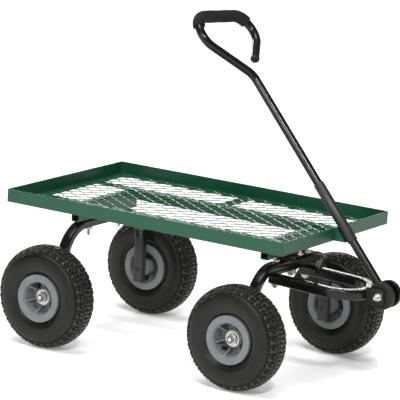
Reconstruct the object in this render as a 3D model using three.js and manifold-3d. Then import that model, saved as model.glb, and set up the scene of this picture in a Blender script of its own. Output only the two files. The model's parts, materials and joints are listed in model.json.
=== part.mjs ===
// A flat-deck garden cart: a mesh load deck on four pneumatic wheels, a steered front axle and a
// pull handle that swings down from where it is parked against the deck.
// Millimetres. +Z is up, +X is forwards to the handle, +Y is the cart's left. The ground is z = 0.
import * as THREE from "three";
import { mergeGeometries, mergeVertices } from "three/addons/utils/BufferGeometryUtils.js";
import Module from "manifold-3d";

// ---- driving dimensions ----
const seat = 0.3; // gap left where one piece rests on another

// wheels
const tyreDiameter = 268;
const tyreWidth = 84;
const rimDiameter = 129.5;
const rimRingWidth = 19;
const pocketRadius = rimDiameter / 2 - rimRingWidth;
const hubDiameter = 48;
const innerHubDiameter = 42;
const rimInset = 0.6; // rim's face in from the tyre's wall
const rimWeb = 5; // half the thickness of the web between the pockets
const hubRecess = 27; // outer hub face, in from the rim's outer face
const hubPlay = 0.6; // outer hub face to its washer
const hubGap = 1.5; // inner hub face to the leg of the arch
const ribCount = 6;
const ribThickness = 5;
const valveDiameter = 8;
const valveCollar = 12;
const valveLength = 19;
const valveLean = 52; // degrees from the axle's direction, inwards
const valveOffset = 14; // outwards from the wheel's mid-plane
const valveTurns = { rear_left: 200, front_left: 75, rear_right: -100, front_right: 20 };
const axleDiameter = 16;
const axleClearance = 0.5; // radial, between the axle and what turns on it
const tyreGap = 11; // tyre wall to the leg of its arch
const wheelSides = 24;
const discSides = 24;

// bent arches that carry the stub axles
const archDepth = 21; // section across the bend
const archWidth = 28; // section along the cart
const archSpan = 384; // outside of leg to outside of leg
const archBend = 100; // outer radius of the bends
const archWall = 2.5;
const archCorner = 4;
const archRise = 178; // from the wheel centres to the top of the rear arch
const archCrease = 6; // how far the inner wall is dished at the middle of a bend
const legDrop = 34; // leg end below the wheel centre

// deck
const deckLength = 830;
const deckWidth = 521;
const rearAxleSetback = 127.5; // from the deck's rear end
const frontAxleSetback = 126; // from the deck's front end
const railHeight = 34;
const railFlange = 34;
const railWall = 3;
const meshLong = 52; // diamond pitch along the cart
const meshShort = 37; // diamond pitch across the cart
const strandWidth = 3.6;
const sheetThickness = 2.5;
const bearerSpread = 274; // outside of one bearer to outside of the other
const bearerLeg = 31;
const bearerWall = 3;
const bearerSetback = 18; // bearer end to the outer face of the end rail
const bearerCope = 14; // how far the bearer's upright leg runs past a cross member
const outriggerX = -6;
const outriggerWidth = 28;
const outriggerThickness = 4;
const crossHeight = 48;
const crossWidth = 24;
const crossWall = 2.5;
const restWidth = 24;

// swivel between the front cross member and the front arch
const basePlateLength = 84;
const basePlateWidth = 96;
const basePlateThickness = 7;
const swivelGap = 0.4; // running gap between the base plate and the steering plate
const swivelBoltX = 34;
const swivelBoltY = 18;
const steeringPlateThickness = 6;
const steeringPlateHalfWidth = 50;
const steeringPlateRear = 17; // behind the kingpin
const steeringPlateFront = 76; // ahead of the kingpin
const steeringPlateCorner = 22; // front corners
const kingpinDiameter = 16;
const stopTabTop = 34; // width where it leaves the plate
const stopTabFoot = 12; // width at its lower end
const stopTabDrop = 36; // below the plate's upper face
const stopTabThickness = 5;
const spacerThickness = 9;

// tongue
const tongueHalfWidth = 89.2; // to the outside of an arm
const tongueBar = 29; // section across
const tongueHeight = 25.3; // section up and down
const tongueWall = 2.5;
const tongueCorner = 5;
const tongueRear = 10; // arm ends behind the kingpin
const tongueNose = 150; // centre of the nose bend, ahead of the kingpin
const tongueFall = 2.4; // degrees that the tongue falls forwards
const cheekThickness = 5;
const cheekHeight = 42;
const cheekAhead = 13; // cheek front edge ahead of the pivot
const cheekBelow = 23; // cheek bottom edge below the pivot
const cheekNose = 10; // rounding of the cheek's front corners

// handle, measured from its pivot along the shaft
const pivotReach = 149.4; // ahead of the deck
const pivotRise = 115.5; // above the wheel centres
const pivotHead = 8; // height of the pivot bolt's head and of its nut
const pivotAcross = 19;
const pivotTail = 15; // thread past the nut
const pivotBoltDiameter = 12;
const handleLean = 40.46; // degrees back from upright when parked
const handleTube = 22;
const handleWall = 1.5;
const shaftLength = 651.5; // pivot to the corner of the neck bend
const shaftTail = 14; // tube below the pivot
const neckAngle = 42;
const neckRadius = 45;
const loopLeg = 117.7; // straight from the neck bend to the first corner of the hand loop
const loopRadius = 47.5;
const firstCorner = 138.5; // degrees
const gripBar = 138; // straight top bar
const secondCorner = 136.2; // degrees
const loopEnd = 57; // straight from the second corner to the tube's open end
const capLength = 9;
const capStubLength = 10;
const gripDiameter = 31.5;
const gripFirst = 65; // degrees of the first corner that the grip covers
const gripSecond = 48; // degrees of the second corner that the grip covers
const sleeveDiameter = 27;
const sleeveStart = 156.5; // sleeve's lower end from the pivot
const sleeveLength = 170;
const discDiameter = 70;
const discRim = 7; // flat rim round the dished outer face
const discDish = 2.5;
const discBoss = 15; // raised middle
const discThickness = 12;
const restGap = 1.5; // parked sleeve to the face of the handle rest

// fasteners
const boltDiameter = 8;
const boltHead = 13;
const boltHeadHeight = 5.5;
const archBoltEnd = 23; // rear arch bolts past what they grip
const tongueBoltEnd = 12; // tongue bolts past what they grip
const rearBoltY = 70;
const kingpinNutHeight = 12;
const kingpinEnd = 5; // kingpin past its nut
const hubWasher = 47;
const hubWasherThickness = 2.5;
const axleNut = 24;
const axleNutThickness = 13;
const axleEnd = 6; // axle past its nut

// ---- places that follow from the sizes ----
const wheelTrack = archSpan + tyreWidth + 2 * tyreGap; // between the mid-planes of a left and a right wheel
const rearAxleX = rearAxleSetback - deckLength / 2;
const frontAxleX = deckLength / 2 - frontAxleSetback;
const pivotX = deckLength / 2 + pivotReach;
const discSpacing = handleTube + discThickness + 2 * seat; // between the two discs' mid-planes

// ---- heights that stack up from the ground ----
const axleZ = tyreDiameter / 2;
const pivotZ = axleZ + pivotRise;
const rearArchTop = axleZ + archRise;
const crossBottom = rearArchTop + seat;
const crossTop = crossBottom + crossHeight;
const bearerTop = crossTop + seat + bearerWall;
const railBottom = bearerTop + seat;
const deckTop = railBottom + railHeight;
const basePlateBottom = crossBottom - seat - basePlateThickness;
const steeringPlateBottom = basePlateBottom - swivelGap - steeringPlateThickness;
const frontArchTop = steeringPlateBottom - seat;
const frontArchUnder = frontArchTop - archDepth;
const spacerBottom = frontArchUnder - seat - spacerThickness;
const legX = archSpan / 2 - archDepth / 2;
const lean = THREE.MathUtils.degToRad(handleLean);

const facetRise = 1 / Math.cos(Math.PI / wheelSides);

// ---- solids ----
const wasm = await Module();
wasm.setup();

function toSolid(geometry) {
  const loose = geometry.index ? geometry.toNonIndexed() : geometry;
  const bare = new THREE.BufferGeometry();
  bare.setAttribute("position", loose.getAttribute("position"));
  const merged = mergeVertices(bare, 1e-4);
  const vertProperties = merged.getAttribute("position").array;
  const triVerts = new Uint32Array(merged.index.array);
  return new wasm.Manifold(new wasm.Mesh({ numProp: 3, vertProperties, triVerts }));
}

function toGeometry(solid) {
  const mesh = solid.getMesh();
  const geometry = new THREE.BufferGeometry();
  geometry.setAttribute("position", new THREE.BufferAttribute(mesh.vertProperties, 3));
  geometry.setIndex(new THREE.BufferAttribute(mesh.triVerts, 1));
  return finished(geometry);
}

function finished(geometry) {
  const loose = geometry.index ? geometry.toNonIndexed() : geometry;
  loose.computeVertexNormals();
  return loose;
}

function join(first, ...others) {
  return toGeometry(others.reduce((sum, other) => sum.add(toSolid(other)), toSolid(first)));
}

function cut(body, ...tools) {
  return toGeometry(tools.reduce((left, tool) => left.subtract(toSolid(tool)), toSolid(body)));
}

// ---- outlines, counter-clockwise ----
function ring(radius, sides, turn = 0) {
  const step = (2 * Math.PI) / sides;
  return Array.from({ length: sides }, (_, k) => {
    const angle = turn + k * step;
    return new THREE.Vector2(radius * Math.cos(angle), radius * Math.sin(angle));
  });
}

function rectangle(width, height, corner = 0, steps = 2) {
  const x = width / 2 - corner;
  const y = height / 2 - corner;
  const centres = [[x, y], [-x, y], [-x, -y], [x, -y]];
  if (corner === 0) return centres.map(([a, b]) => new THREE.Vector2(a, b));
  return centres.flatMap(([a, b], quarter) =>
    Array.from({ length: steps + 1 }, (_, k) => {
      const angle = (quarter + k / steps) * (Math.PI / 2);
      return new THREE.Vector2(a + corner * Math.cos(angle), b + corner * Math.sin(angle));
    }),
  );
}

function points(pairs) {
  return pairs.map(([x, y]) => new THREE.Vector2(x, y));
}

// ---- forms ----
// A flat outline with holes, drawn out along +Z from z = 0.
function prism(outline, depth, holes = []) {
  const shape = new THREE.Shape(outline);
  shape.holes = holes.map((hole) => new THREE.Path(hole));
  return new THREE.ExtrudeGeometry(shape, { depth, bevelEnabled: false });
}

function rodZ(diameter, low, high, sides = 12) {
  const rod = new THREE.CylinderGeometry(diameter / 2, diameter / 2, high - low, sides);
  return rod.rotateX(Math.PI / 2).translate(0, 0, (low + high) / 2);
}

function rodY(diameter, low, high, sides = 12) {
  const rod = new THREE.CylinderGeometry(diameter / 2, diameter / 2, high - low, sides);
  return rod.translate(0, (low + high) / 2, 0);
}

function block(x0, x1, y0, y1, z0, z1) {
  const box = new THREE.BoxGeometry(x1 - x0, y1 - y0, z1 - z0);
  return box.translate((x0 + x1) / 2, (y0 + y1) / 2, (z0 + z1) / 2);
}

// Skins a row of rings that share one outline and hole, and closes both ends.
function loft(rings, outline, hole = []) {
  const count = outline.length + hole.length;
  const index = [];
  const walls = (first, size) => {
    for (let r = 0; r < rings.length - 1; r++) {
      for (let k = 0; k < size; k++) {
        const a = r * count + first + k;
        const b = r * count + first + ((k + 1) % size);
        index.push(a, b, b + count, a, b + count, a + count);
      }
    }
  };
  walls(0, outline.length);
  walls(outline.length, hole.length);
  const last = (rings.length - 1) * count;
  for (const [a, b, c] of THREE.ShapeUtils.triangulateShape(outline, hole.length ? [hole] : [])) {
    index.push(c, b, a, last + a, last + b, last + c);
  }
  const geometry = new THREE.BufferGeometry().setFromPoints(rings.flat());
  geometry.setIndex(index);
  return finished(geometry);
}

// Walks a flat route of straight runs and bends. A bend is a radius and a turn in degrees, left
// positive. Each station keeps its place, its left side, the plane's normal and the bend's share.
function route(start, headingDegrees, moves, across, along) {
  const normal = new THREE.Vector3().crossVectors(across, along);
  const lift = (v) =>
    across.clone().multiplyScalar(v.x).addScaledVector(along, v.y);
  const stations = [];
  const place = start.clone();
  let angle = THREE.MathUtils.degToRad(headingDegrees);
  const left = () => new THREE.Vector2(-Math.sin(angle), Math.cos(angle));
  const mark = (share) =>
    stations.push({ place: lift(place), side: lift(left()), up: normal, share });
  mark(0);
  for (const { run, radius, turn, steps = 6 } of moves) {
    if (run !== undefined) {
      place.add(new THREE.Vector2(Math.cos(angle), Math.sin(angle)).multiplyScalar(run));
      mark(0);
      continue;
    }
    const signed = radius * Math.sign(turn);
    const centre = place.clone().addScaledVector(left(), signed);
    for (let k = 1; k <= steps; k++) {
      angle += THREE.MathUtils.degToRad(turn / steps);
      place.copy(centre).addScaledVector(left(), -signed);
      mark(k / steps);
    }
  }
  return stations;
}

// Carries a section along a route: its x runs to the route's left, its y along the plane's normal.
function sweep(stations, outline, hole = [], shaped = (point) => point) {
  const rings = stations.map((station) =>
    [...outline, ...hole].map((flat) => {
      const point = shaped(flat, station);
      const spot = station.place.clone().addScaledVector(station.side, point.x);
      return spot.addScaledVector(station.up, point.y);
    }),
  );
  return loft(rings, outline, hole);
}

const axisX = new THREE.Vector3(1, 0, 0);
const axisY = new THREE.Vector3(0, 1, 0);
const axisZ = new THREE.Vector3(0, 0, 1);

// ---- finishes ----
const finishes = {
  greenPaint: { color: 0x4c7462, roughness: 0.45, metalness: 0.1 },
  blackPaint: { color: 0x1c1c1b, roughness: 0.3, metalness: 0.1 },
  olivePaint: { color: 0x45443c, roughness: 0.4, metalness: 0.1 },
  zinc: { color: 0xc4c3bb, roughness: 0.35, metalness: 0.9 },
  rimPlastic: { color: 0x9a9d9f, roughness: 0.5, metalness: 0 },
  rubber: { color: 0x2d2d2a, roughness: 0.85, metalness: 0 },
  foam: { color: 0x454545, roughness: 0.95, metalness: 0 },
  blackPlastic: { color: 0x151515, roughness: 0.5, metalness: 0 },
};

function piece(group, name, geometry, finish, x = 0, y = 0, z = 0, turnZ = 0) {
  const material = new THREE.MeshStandardMaterial(finishes[finish]);
  const mesh = new THREE.Mesh(geometry, material);
  mesh.name = name;
  mesh.position.set(x, y, z);
  mesh.rotation.z = turnZ;
  group.add(mesh);
  return mesh;
}

const sides = [{ name: "left", sign: 1 }, { name: "right", sign: -1 }];

// ---- fasteners ----
// A hex bolt down from a seat at z = 0, with a nut and washer on it where one is asked for.
function hexBolt(length, nutAt = null, diameter = boltDiameter, across = boltHead) {
  const hex = ring(across / Math.sqrt(3), 6);
  const pieces = [prism(hex, boltHeadHeight), rodZ(diameter, -length, 1, 8)];
  if (nutAt !== null) {
    pieces.push(prism(hex, boltHeadHeight).translate(0, 0, -nutAt - boltHeadHeight));
    pieces.push(rodZ(across * 1.25, -nutAt - 1.5, -nutAt, 12));
  }
  return join(...pieces);
}

// A hole whose flats clear a round of that diameter, whatever its sides.
function boltHole(diameter, low, high) {
  return rodZ((diameter + 2 * seat) / Math.cos(Math.PI / 8), low, high, 8);
}

// ---- deck ----
// One rail of the deck's frame: angle iron with mitred ends, its outer face on y = 0.
function rail(length) {
  const section = points([
    [0, 0], [railFlange, 0], [railFlange, railWall],
    [railWall, railWall], [railWall, railHeight], [0, railHeight],
  ]);
  const end = (sign) =>
    section.map((p) => new THREE.Vector3(sign * (length / 2 - p.x - seat), p.x, p.y));
  return loft([end(-1), end(1)], section);
}

// The flattened expanded-metal sheet: a plate with rows of diamonds pressed through it.
function meshSheet() {
  const inner = 2 * (railWall + seat);
  const columns = Math.floor((deckLength - inner) / meshLong);
  const rows = Math.floor((deckWidth - inner) / meshShort);
  const length = columns * meshLong;
  const width = rows * meshShort;
  const halfLong = meshLong / 2;
  const halfShort = meshShort / 2;
  const strandAway = (halfLong * halfShort) / Math.hypot(halfLong, halfShort);
  const open = 1 - strandWidth / 2 / strandAway;
  const diamond = prism(
    points([[halfLong * open, 0], [0, halfShort * open], [-halfLong * open, 0], [0, -halfShort * open]]),
    sheetThickness + 2,
  );
  const diamonds = [];
  for (let i = 0; i <= 2 * columns; i++) {
    for (let j = i % 2; j <= 2 * rows; j += 2) {
      const x = i * halfLong - length / 2;
      diamonds.push(diamond.clone().translate(x, j * halfShort - width / 2, -1));
    }
  }
  return cut(prism(rectangle(length, width), sheetThickness), mergeGeometries(diamonds));
}

// An angle iron. Its upright leg stops just past each cross member; its flange runs on to the end rail.
function bearer(facing) {
  const section = points([
    [0, 0], [0, -bearerLeg], [bearerWall, -bearerLeg],
    [bearerWall, -bearerWall], [bearerLeg, -bearerWall], [bearerLeg, 0],
  ]);
  const half = deckLength / 2 - bearerSetback;
  const end = (x) => section.map((p) => new THREE.Vector3(x, p.x, p.y));
  const past = crossWidth / 2 + bearerCope;
  const cope = (from, to) => {
    const [low, high] = [facing * from, facing * to].sort((a, b) => a - b);
    return block(low, high, -1, bearerWall + 1, -bearerLeg - 1, -bearerWall);
  };
  return cut(
    loft([end(-half), end(half)], section),
    cope(frontAxleX + past, half + 1),
    cope(-half - 1, rearAxleX - past),
  );
}

function crossMember(boltXs, boltYs) {
  const half = bearerSpread / 2 - bearerWall - seat;
  const tube = prism(
    rectangle(crossWidth, crossHeight, 3),
    2 * half,
    [rectangle(crossWidth - 2 * crossWall, crossHeight - 2 * crossWall)],
  );
  tube.rotateX(Math.PI / 2).translate(0, half, crossHeight / 2);
  const holes = boltXs.flatMap((x) =>
    boltYs.map((y) => boltHole(boltDiameter, -1, crossWall + 1).translate(x, y, 0)),
  );
  return holes.length ? cut(tube, ...holes) : tube;
}

// The triangular rest for the parked handle: its slope lies along the shaft.
function handleRest() {
  const railFace = deckLength / 2 + seat;
  const away = (sleeveDiameter / 2 + restGap) / Math.cos(lean);
  const slopeX = (z) => pivotX - (z - pivotZ) * Math.tan(lean) - away;
  const profile = points([
    [railFace, -deckTop], [railFace, -railBottom], [slopeX(railBottom), -railBottom],
    [Math.max(slopeX(deckTop), railFace + 1), -deckTop],
  ]);
  return prism(profile, restWidth).rotateX(-Math.PI / 2).translate(0, -restWidth / 2, 0);
}

// ---- arches ----
// A bent rectangular tube standing on two legs. The inner wall is dished through each bend.
function arch(top, holes) {
  const bend = archBend - archDepth / 2;
  const leg = top - archBend - (axleZ - legDrop);
  const stations = route(
    new THREE.Vector2(-legX, axleZ - legDrop),
    90,
    [
      { run: leg },
      { radius: bend, turn: -90 },
      { run: archSpan - 2 * archBend },
      { radius: bend, turn: -90 },
      { run: leg },
    ],
    axisY,
    axisZ,
  );
  const inner = -archDepth / 2;
  const outline = rectangle(archDepth, archWidth, archCorner);
  outline.splice(outline.length / 2, 0, new THREE.Vector2(inner, 0));
  const hole = points([
    [inner + archWall, -archWidth / 2 + archWall], [inner + archWall, 0],
    [inner + archWall, archWidth / 2 - archWall], [-inner - archWall, archWidth / 2 - archWall],
    [-inner - archWall, -archWidth / 2 + archWall],
  ]);
  const creased = (p, station) => {
    const deep = p.y === 0 && p.x < 0 ? archCrease * Math.sin(Math.PI * station.share) : 0;
    return new THREE.Vector2(p.x + deep, p.y);
  };
  const tube = sweep(stations, outline, hole, creased);
  const axleHoles = sides.map(({ sign }) => {
    const y = sign * legX;
    return rodY(axleDiameter + 2 * seat, y - archDepth, y + archDepth).translate(0, 0, axleZ);
  });
  return cut(tube, ...axleHoles, ...holes);
}

// ---- wheels, built with their outer side towards +Y about their own centre ----
// The facets' middles, not their corners, lie on the profile.
function lathe(profile) {
  const outside = profile.map((p) => new THREE.Vector2(p.x * facetRise, p.y));
  return new THREE.LatheGeometry([...outside, outside[0]], wheelSides);
}

function tyre() {
  const tread = tyreDiameter / 2;
  const bead = rimDiameter / 2 + seat;
  const half = tyreWidth / 2;
  const upper = [
    [bead, half - 13], [tread - 32, half - 7.5], [tread - 10, half - 24],
  ];
  const outer = [
    [tread, half - 15], [tread - 9, half - 5.5], [tread - 26, half - 0.5],
    [bead + 9, half], [bead, half - 0.8],
  ];
  const mirrored = (pairs) => pairs.map(([r, y]) => [r, -y]).reverse();
  const profile = points([...upper, ...mirrored(upper), ...mirrored(outer), ...outer]);
  // half a facet round, so that a flat stands on the ground
  return lathe(profile).rotateY(Math.PI / wheelSides);
}

function rim() {
  const face = tyreWidth / 2 - rimInset;
  const hubFace = face - hubRecess;
  const outerRadius = rimDiameter / 2 / facetRise;
  const bore = axleDiameter / 2 + axleClearance;
  const innerHub = wheelTrack / 2 - archSpan / 2 - hubGap;
  const profile = points([
    [bore, hubFace], [bore, -innerHub], [innerHubDiameter / 2, -innerHub],
    [innerHubDiameter / 2, -rimWeb], [pocketRadius, -rimWeb], [pocketRadius, -face],
    [outerRadius, -face], [outerRadius, face], [pocketRadius, face],
    [pocketRadius, rimWeb], [hubDiameter / 2, rimWeb], [hubDiameter / 2, hubFace],
  ]);
  const outerRib = [[0, rimWeb - 1], [0, hubFace - 2], [1, face - 8], [1, rimWeb - 1]];
  const innerRib = [[0, -rimWeb + 1], [0, -hubFace + 2], [1, -face + 8], [1, -rimWeb + 1]];
  const reach = (hub) => (share) => hub / 2 - 2 + share * (pocketRadius + 3 - hub / 2);
  const rib = (pairs, hub) => {
    const flat = points(pairs.map(([share, y]) => [reach(hub)(share), y]));
    return prism(flat, ribThickness).translate(0, 0, -ribThickness / 2);
  };
  const ribs = [];
  for (let k = 0; k < ribCount; k++) {
    const angle = (2 * Math.PI * (k + 0.5)) / ribCount;
    ribs.push(rib(outerRib, hubDiameter).rotateY(angle));
    ribs.push(rib(innerRib, innerHubDiameter).rotateY(angle));
  }
  return join(lathe(profile), ...ribs);
}

// A rubber collar on the inside of the rim's ring, and a stem that leans outwards from it.
function valveStem() {
  const root = Math.sqrt(pocketRadius ** 2 - (valveCollar / 2) ** 2) - seat;
  const stem = rodY(valveDiameter, 0, valveLength, 8);
  stem.rotateZ(THREE.MathUtils.degToRad(valveLean)).translate(-2, 0, 0);
  const collar = rodY(valveCollar, 0, 4, 8).rotateZ(Math.PI / 2);
  return join(collar, stem).translate(root, valveOffset, 0);
}

const wheelMaking = { tyre: tyre(), rim: rim(), valve: valveStem() };

function wheel(group, name, x, sign) {
  const hub = new THREE.Group();
  hub.position.set(x, (sign * wheelTrack) / 2, axleZ);
  hub.rotation.z = sign > 0 ? 0 : Math.PI;
  group.add(hub);
  piece(hub, `${name}_tyre`, wheelMaking.tyre, "rubber");
  const spun = new THREE.Group();
  spun.rotation.y = THREE.MathUtils.degToRad(valveTurns[name]);
  hub.add(spun);
  piece(spun, `${name}_rim`, wheelMaking.rim, "rimPlastic");
  piece(spun, `${name}_valve`, wheelMaking.valve, "blackPlastic");
}

// A stub axle welded through the leg, and the washer and nut that keep its wheel on.
function stubAxle(group, name, x, sign) {
  const turn = sign > 0 ? 0 : Math.PI;
  const hubEnd = wheelTrack / 2 + tyreWidth / 2 - rimInset - hubRecess;
  const washerAt = hubEnd + hubPlay;
  const nutEnd = washerAt + hubWasherThickness + axleNutThickness;
  const legInside = archSpan / 2 - archDepth;
  const spindle = rodY(axleDiameter, legInside - 1, nutEnd + axleEnd);
  piece(group, `${name}_axle`, spindle, "zinc", x, 0, axleZ, turn);
  const hex = prism(ring(axleNut / Math.sqrt(3), 6), axleNutThickness + 1);
  hex.rotateX(-Math.PI / 2).translate(0, washerAt + hubWasherThickness - 1, 0);
  const washer = rodY(hubWasher, washerAt, washerAt + hubWasherThickness, 20);
  const bore = rodY(axleDiameter + 2 * seat, washerAt - 1, nutEnd + 1);
  piece(group, `${name}_axle_nut`, cut(join(hex, washer), bore), "zinc", x, 0, axleZ, turn);
}

// ---- chassis ----
const chassis = new THREE.Group();

for (const { name, sign } of sides) {
  const turn = sign > 0 ? Math.PI : 0;
  piece(chassis, `${name}_rail`, rail(deckLength), "greenPaint", 0, (sign * deckWidth) / 2, railBottom, turn);
}
piece(chassis, "front_rail", rail(deckWidth), "greenPaint", deckLength / 2, 0, railBottom, Math.PI / 2);
piece(chassis, "rear_rail", rail(deckWidth), "greenPaint", -deckLength / 2, 0, railBottom, -Math.PI / 2);
piece(chassis, "deck_mesh", meshSheet(), "greenPaint", 0, 0, railBottom + railWall + seat);

for (const { name, sign } of sides) {
  const outer = (sign * bearerSpread) / 2;
  piece(chassis, `${name}_bearer`, bearer(-sign), "greenPaint", 0, outer, bearerTop, sign > 0 ? Math.PI : 0);
  const near = bearerSpread / 2 + seat;
  const far = deckWidth / 2 - railWall;
  const bar = block(
    -outriggerWidth / 2, outriggerWidth / 2,
    near, far, -outriggerThickness, 0,
  );
  const turn = sign > 0 ? 0 : Math.PI;
  piece(chassis, `${name}_outrigger`, bar, "greenPaint", outriggerX, 0, bearerTop, turn);
}

const rearCross = crossMember([0], [-rearBoltY, rearBoltY]);
piece(chassis, "rear_cross_member", rearCross, "greenPaint", rearAxleX, 0, crossBottom);
piece(chassis, "front_cross_member", crossMember([], []), "greenPaint", frontAxleX, 0, crossBottom);
piece(chassis, "handle_rest", handleRest(), "greenPaint");

const rearArchHoles = [-rearBoltY, rearBoltY].map((y) =>
  boltHole(boltDiameter, rearArchTop - archDepth - 1, rearArchTop + 1).translate(0, y, 0),
);
piece(chassis, "rear_arch", arch(rearArchTop, rearArchHoles), "blackPaint", rearAxleX);
for (const { name, sign } of sides) {
  const gripped = crossWall + archDepth + 3 * seat;
  const bolt = hexBolt(gripped + archBoltEnd, gripped);
  piece(chassis, `rear_arch_bolt_${name}`, bolt, "zinc", rearAxleX, sign * rearBoltY, crossBottom + crossWall + seat);
  stubAxle(chassis, `rear_${name}`, rearAxleX, sign);
}

// ---- swivel ----
const basePlate = cut(
  prism(rectangle(basePlateLength, basePlateWidth, 12), basePlateThickness),
  boltHole(kingpinDiameter, -1, basePlateThickness + 1),
  ...[-1, 1].flatMap((a) =>
    [-1, 1].map((b) =>
      boltHole(boltDiameter, -1, basePlateThickness + 1).translate(a * swivelBoltX, b * swivelBoltY, 0),
    ),
  ),
);
piece(chassis, "swivel_base", basePlate, "blackPaint", frontAxleX, 0, basePlateBottom);
for (const [a, end] of [[1, "front"], [-1, "rear"]]) {
  for (const { name, sign } of sides) {
    const bolt = hexBolt(basePlateThickness - seat);
    const y = sign * swivelBoltY;
    const z = basePlateBottom + basePlateThickness + seat;
    piece(chassis, `swivel_bolt_${end}_${name}`, bolt, "zinc", frontAxleX + a * swivelBoltX, y, z);
  }
}
const kingpinNutTop = spacerBottom - seat;
const kingpin = rodZ(kingpinDiameter, kingpinNutTop - kingpinNutHeight - kingpinEnd, basePlateBottom + basePlateThickness);
piece(chassis, "kingpin", kingpin, "zinc", frontAxleX);
const kingpinNut = cut(
  join(
    prism(ring(axleNut / Math.sqrt(3), 6), kingpinNutHeight),
    rodZ(30, kingpinNutHeight - 2.5, kingpinNutHeight, 16),
  ),
  boltHole(kingpinDiameter, -1, kingpinNutHeight + 1),
);
piece(chassis, "kingpin_nut", kingpinNut, "zinc", frontAxleX, 0, kingpinNutTop - kingpinNutHeight);

// ---- steered front axle, built about the kingpin ----
const frontAxle = new THREE.Group();
frontAxle.position.x = frontAxleX;
const kingpinHole = (low, high) => rodZ(kingpinDiameter + 2 * axleClearance + 0.4, low, high, 16);
const tongueBoltY = tongueHalfWidth - tongueBar / 2;

// square behind, with rounded corners in front
const frontCorner = (sign) =>
  Array.from({ length: 6 }, (_, k) => {
    const angle = ((k / 5) * Math.PI) / 2;
    const away = sign < 0 ? angle : Math.PI / 2 - angle;
    return new THREE.Vector2(
      steeringPlateFront - steeringPlateCorner * (1 - Math.sin(away)),
      sign * (steeringPlateHalfWidth - steeringPlateCorner * (1 - Math.cos(away))),
    );
  });
const steeringOutline = [
  ...points([[-steeringPlateRear, -steeringPlateHalfWidth]]),
  ...frontCorner(-1), ...frontCorner(1),
  ...points([[-steeringPlateRear, steeringPlateHalfWidth]]),
];
const steeringPlate = cut(
  prism(steeringOutline, steeringPlateThickness),
  kingpinHole(-1, steeringPlateThickness + 1),
);
piece(frontAxle, "steering_plate", steeringPlate, "olivePaint", 0, 0, steeringPlateBottom);

const frontArchHoles = [
  kingpinHole(frontArchUnder - 1, frontArchTop + 1),
  ...sides.map(({ sign }) =>
    boltHole(boltDiameter, frontArchUnder - 1, frontArchTop + 1).translate(0, sign * tongueBoltY, 0),
  ),
];
piece(frontAxle, "front_arch", arch(frontArchTop, frontArchHoles), "blackPaint");
const spacerHoles = [
  kingpinHole(-1, spacerThickness + 1),
  ...sides.map(({ sign }) =>
    boltHole(boltDiameter, -1, spacerThickness + 1).translate(0, sign * tongueBoltY, 0),
  ),
];
const spacer = cut(
  prism(rectangle(archWidth, 2 * tongueHalfWidth), spacerThickness),
  ...spacerHoles,
);
piece(frontAxle, "steering_spacer", spacer, "blackPaint", 0, 0, spacerBottom);
// the steering stop: a tapering tab that hangs from the plate's front edge
const stopTab = prism(
  points([
    [-stopTabTop / 2, 0], [-stopTabTop / 2, -steeringPlateThickness], [-stopTabFoot / 2, -stopTabDrop / 2],
    [-stopTabFoot / 2, -stopTabDrop], [stopTabFoot / 2, -stopTabDrop], [stopTabFoot / 2, -stopTabDrop / 2],
    [stopTabTop / 2, -steeringPlateThickness], [stopTabTop / 2, 0],
  ]),
  stopTabThickness,
);
stopTab.rotateX(Math.PI / 2).rotateZ(Math.PI / 2);
piece(frontAxle, "stop_pin", stopTab, "blackPaint", steeringPlateFront + seat, 0, steeringPlateBottom + steeringPlateThickness);

// tongue: a U of rectangular tube that falls a little towards its nose
const tongue = new THREE.Group();
tongue.rotation.y = THREE.MathUtils.degToRad(tongueFall);
const fallAtArm = Math.tan(tongue.rotation.y) * tongueRear;
tongue.position.z = spacerBottom - seat - fallAtArm - tongueHeight / 2;
frontAxle.add(tongue);
const tongueBend = tongueHalfWidth - tongueBar / 2;
const tongueRoute = route(
  new THREE.Vector2(-tongueRear, -tongueBend),
  0,
  [
    { run: tongueRear + tongueNose },
    { radius: tongueBend, turn: 180, steps: 12 },
    { run: tongueRear + tongueNose },
  ],
  axisX,
  axisY,
);
const tongueLoop = cut(
  sweep(
    tongueRoute,
    rectangle(tongueBar, tongueHeight, tongueCorner),
    rectangle(tongueBar - 2 * tongueWall, tongueHeight - 2 * tongueWall).reverse(),
  ),
  ...sides.map(({ sign }) =>
    boltHole(boltDiameter + 2, -tongueHeight, tongueHeight).translate(0, sign * tongueBoltY, 0),
  ),
);
piece(tongue, "tongue_loop", tongueLoop, "blackPaint");
for (const { name, sign } of sides) {
  const gripped = archDepth + spacerThickness + tongueHeight + 2;
  const bolt = hexBolt(gripped + tongueBoltEnd, gripped);
  piece(frontAxle, `tongue_bolt_${name}`, bolt, "zinc", 0, sign * tongueBoltY, frontArchTop + seat);
}

// hitch: two cheek plates from the nose, with the handle's pivot bolt across them
const pivotAhead = pivotX - frontAxleX;
const discOuter = discSpacing / 2 + discThickness / 2;
const cheekInner = discOuter + seat;
const cheekBack = tongueNose + Math.sqrt(tongueHalfWidth ** 2 - cheekInner ** 2) + seat;
function cheekPlate() {
  const front = pivotAhead + cheekAhead;
  const top = cheekHeight - cheekBelow;
  const bevel = cheekNose * (1 - Math.SQRT1_2);
  const outline = points([
    [cheekBack, -cheekBelow], [front - cheekNose, -cheekBelow], [front - bevel, -cheekBelow + bevel],
    [front, -cheekBelow + cheekNose], [front, top - cheekNose], [front - bevel, top - bevel],
    [front - cheekNose, top], [cheekBack, top],
  ]);
  return prism(outline, cheekThickness).rotateX(Math.PI / 2).translate(0, cheekThickness, 0);
}
for (const { name, sign } of sides) {
  const plate = cut(
    cheekPlate(),
    rodY(pivotBoltDiameter + 2 * seat, -1, cheekThickness + 1).translate(pivotAhead, 0, 0),
  );
  const y = sign > 0 ? cheekInner : -cheekInner - cheekThickness;
  piece(frontAxle, `${name}_cheek`, plate, "blackPaint", 0, y, pivotZ);
}
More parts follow.
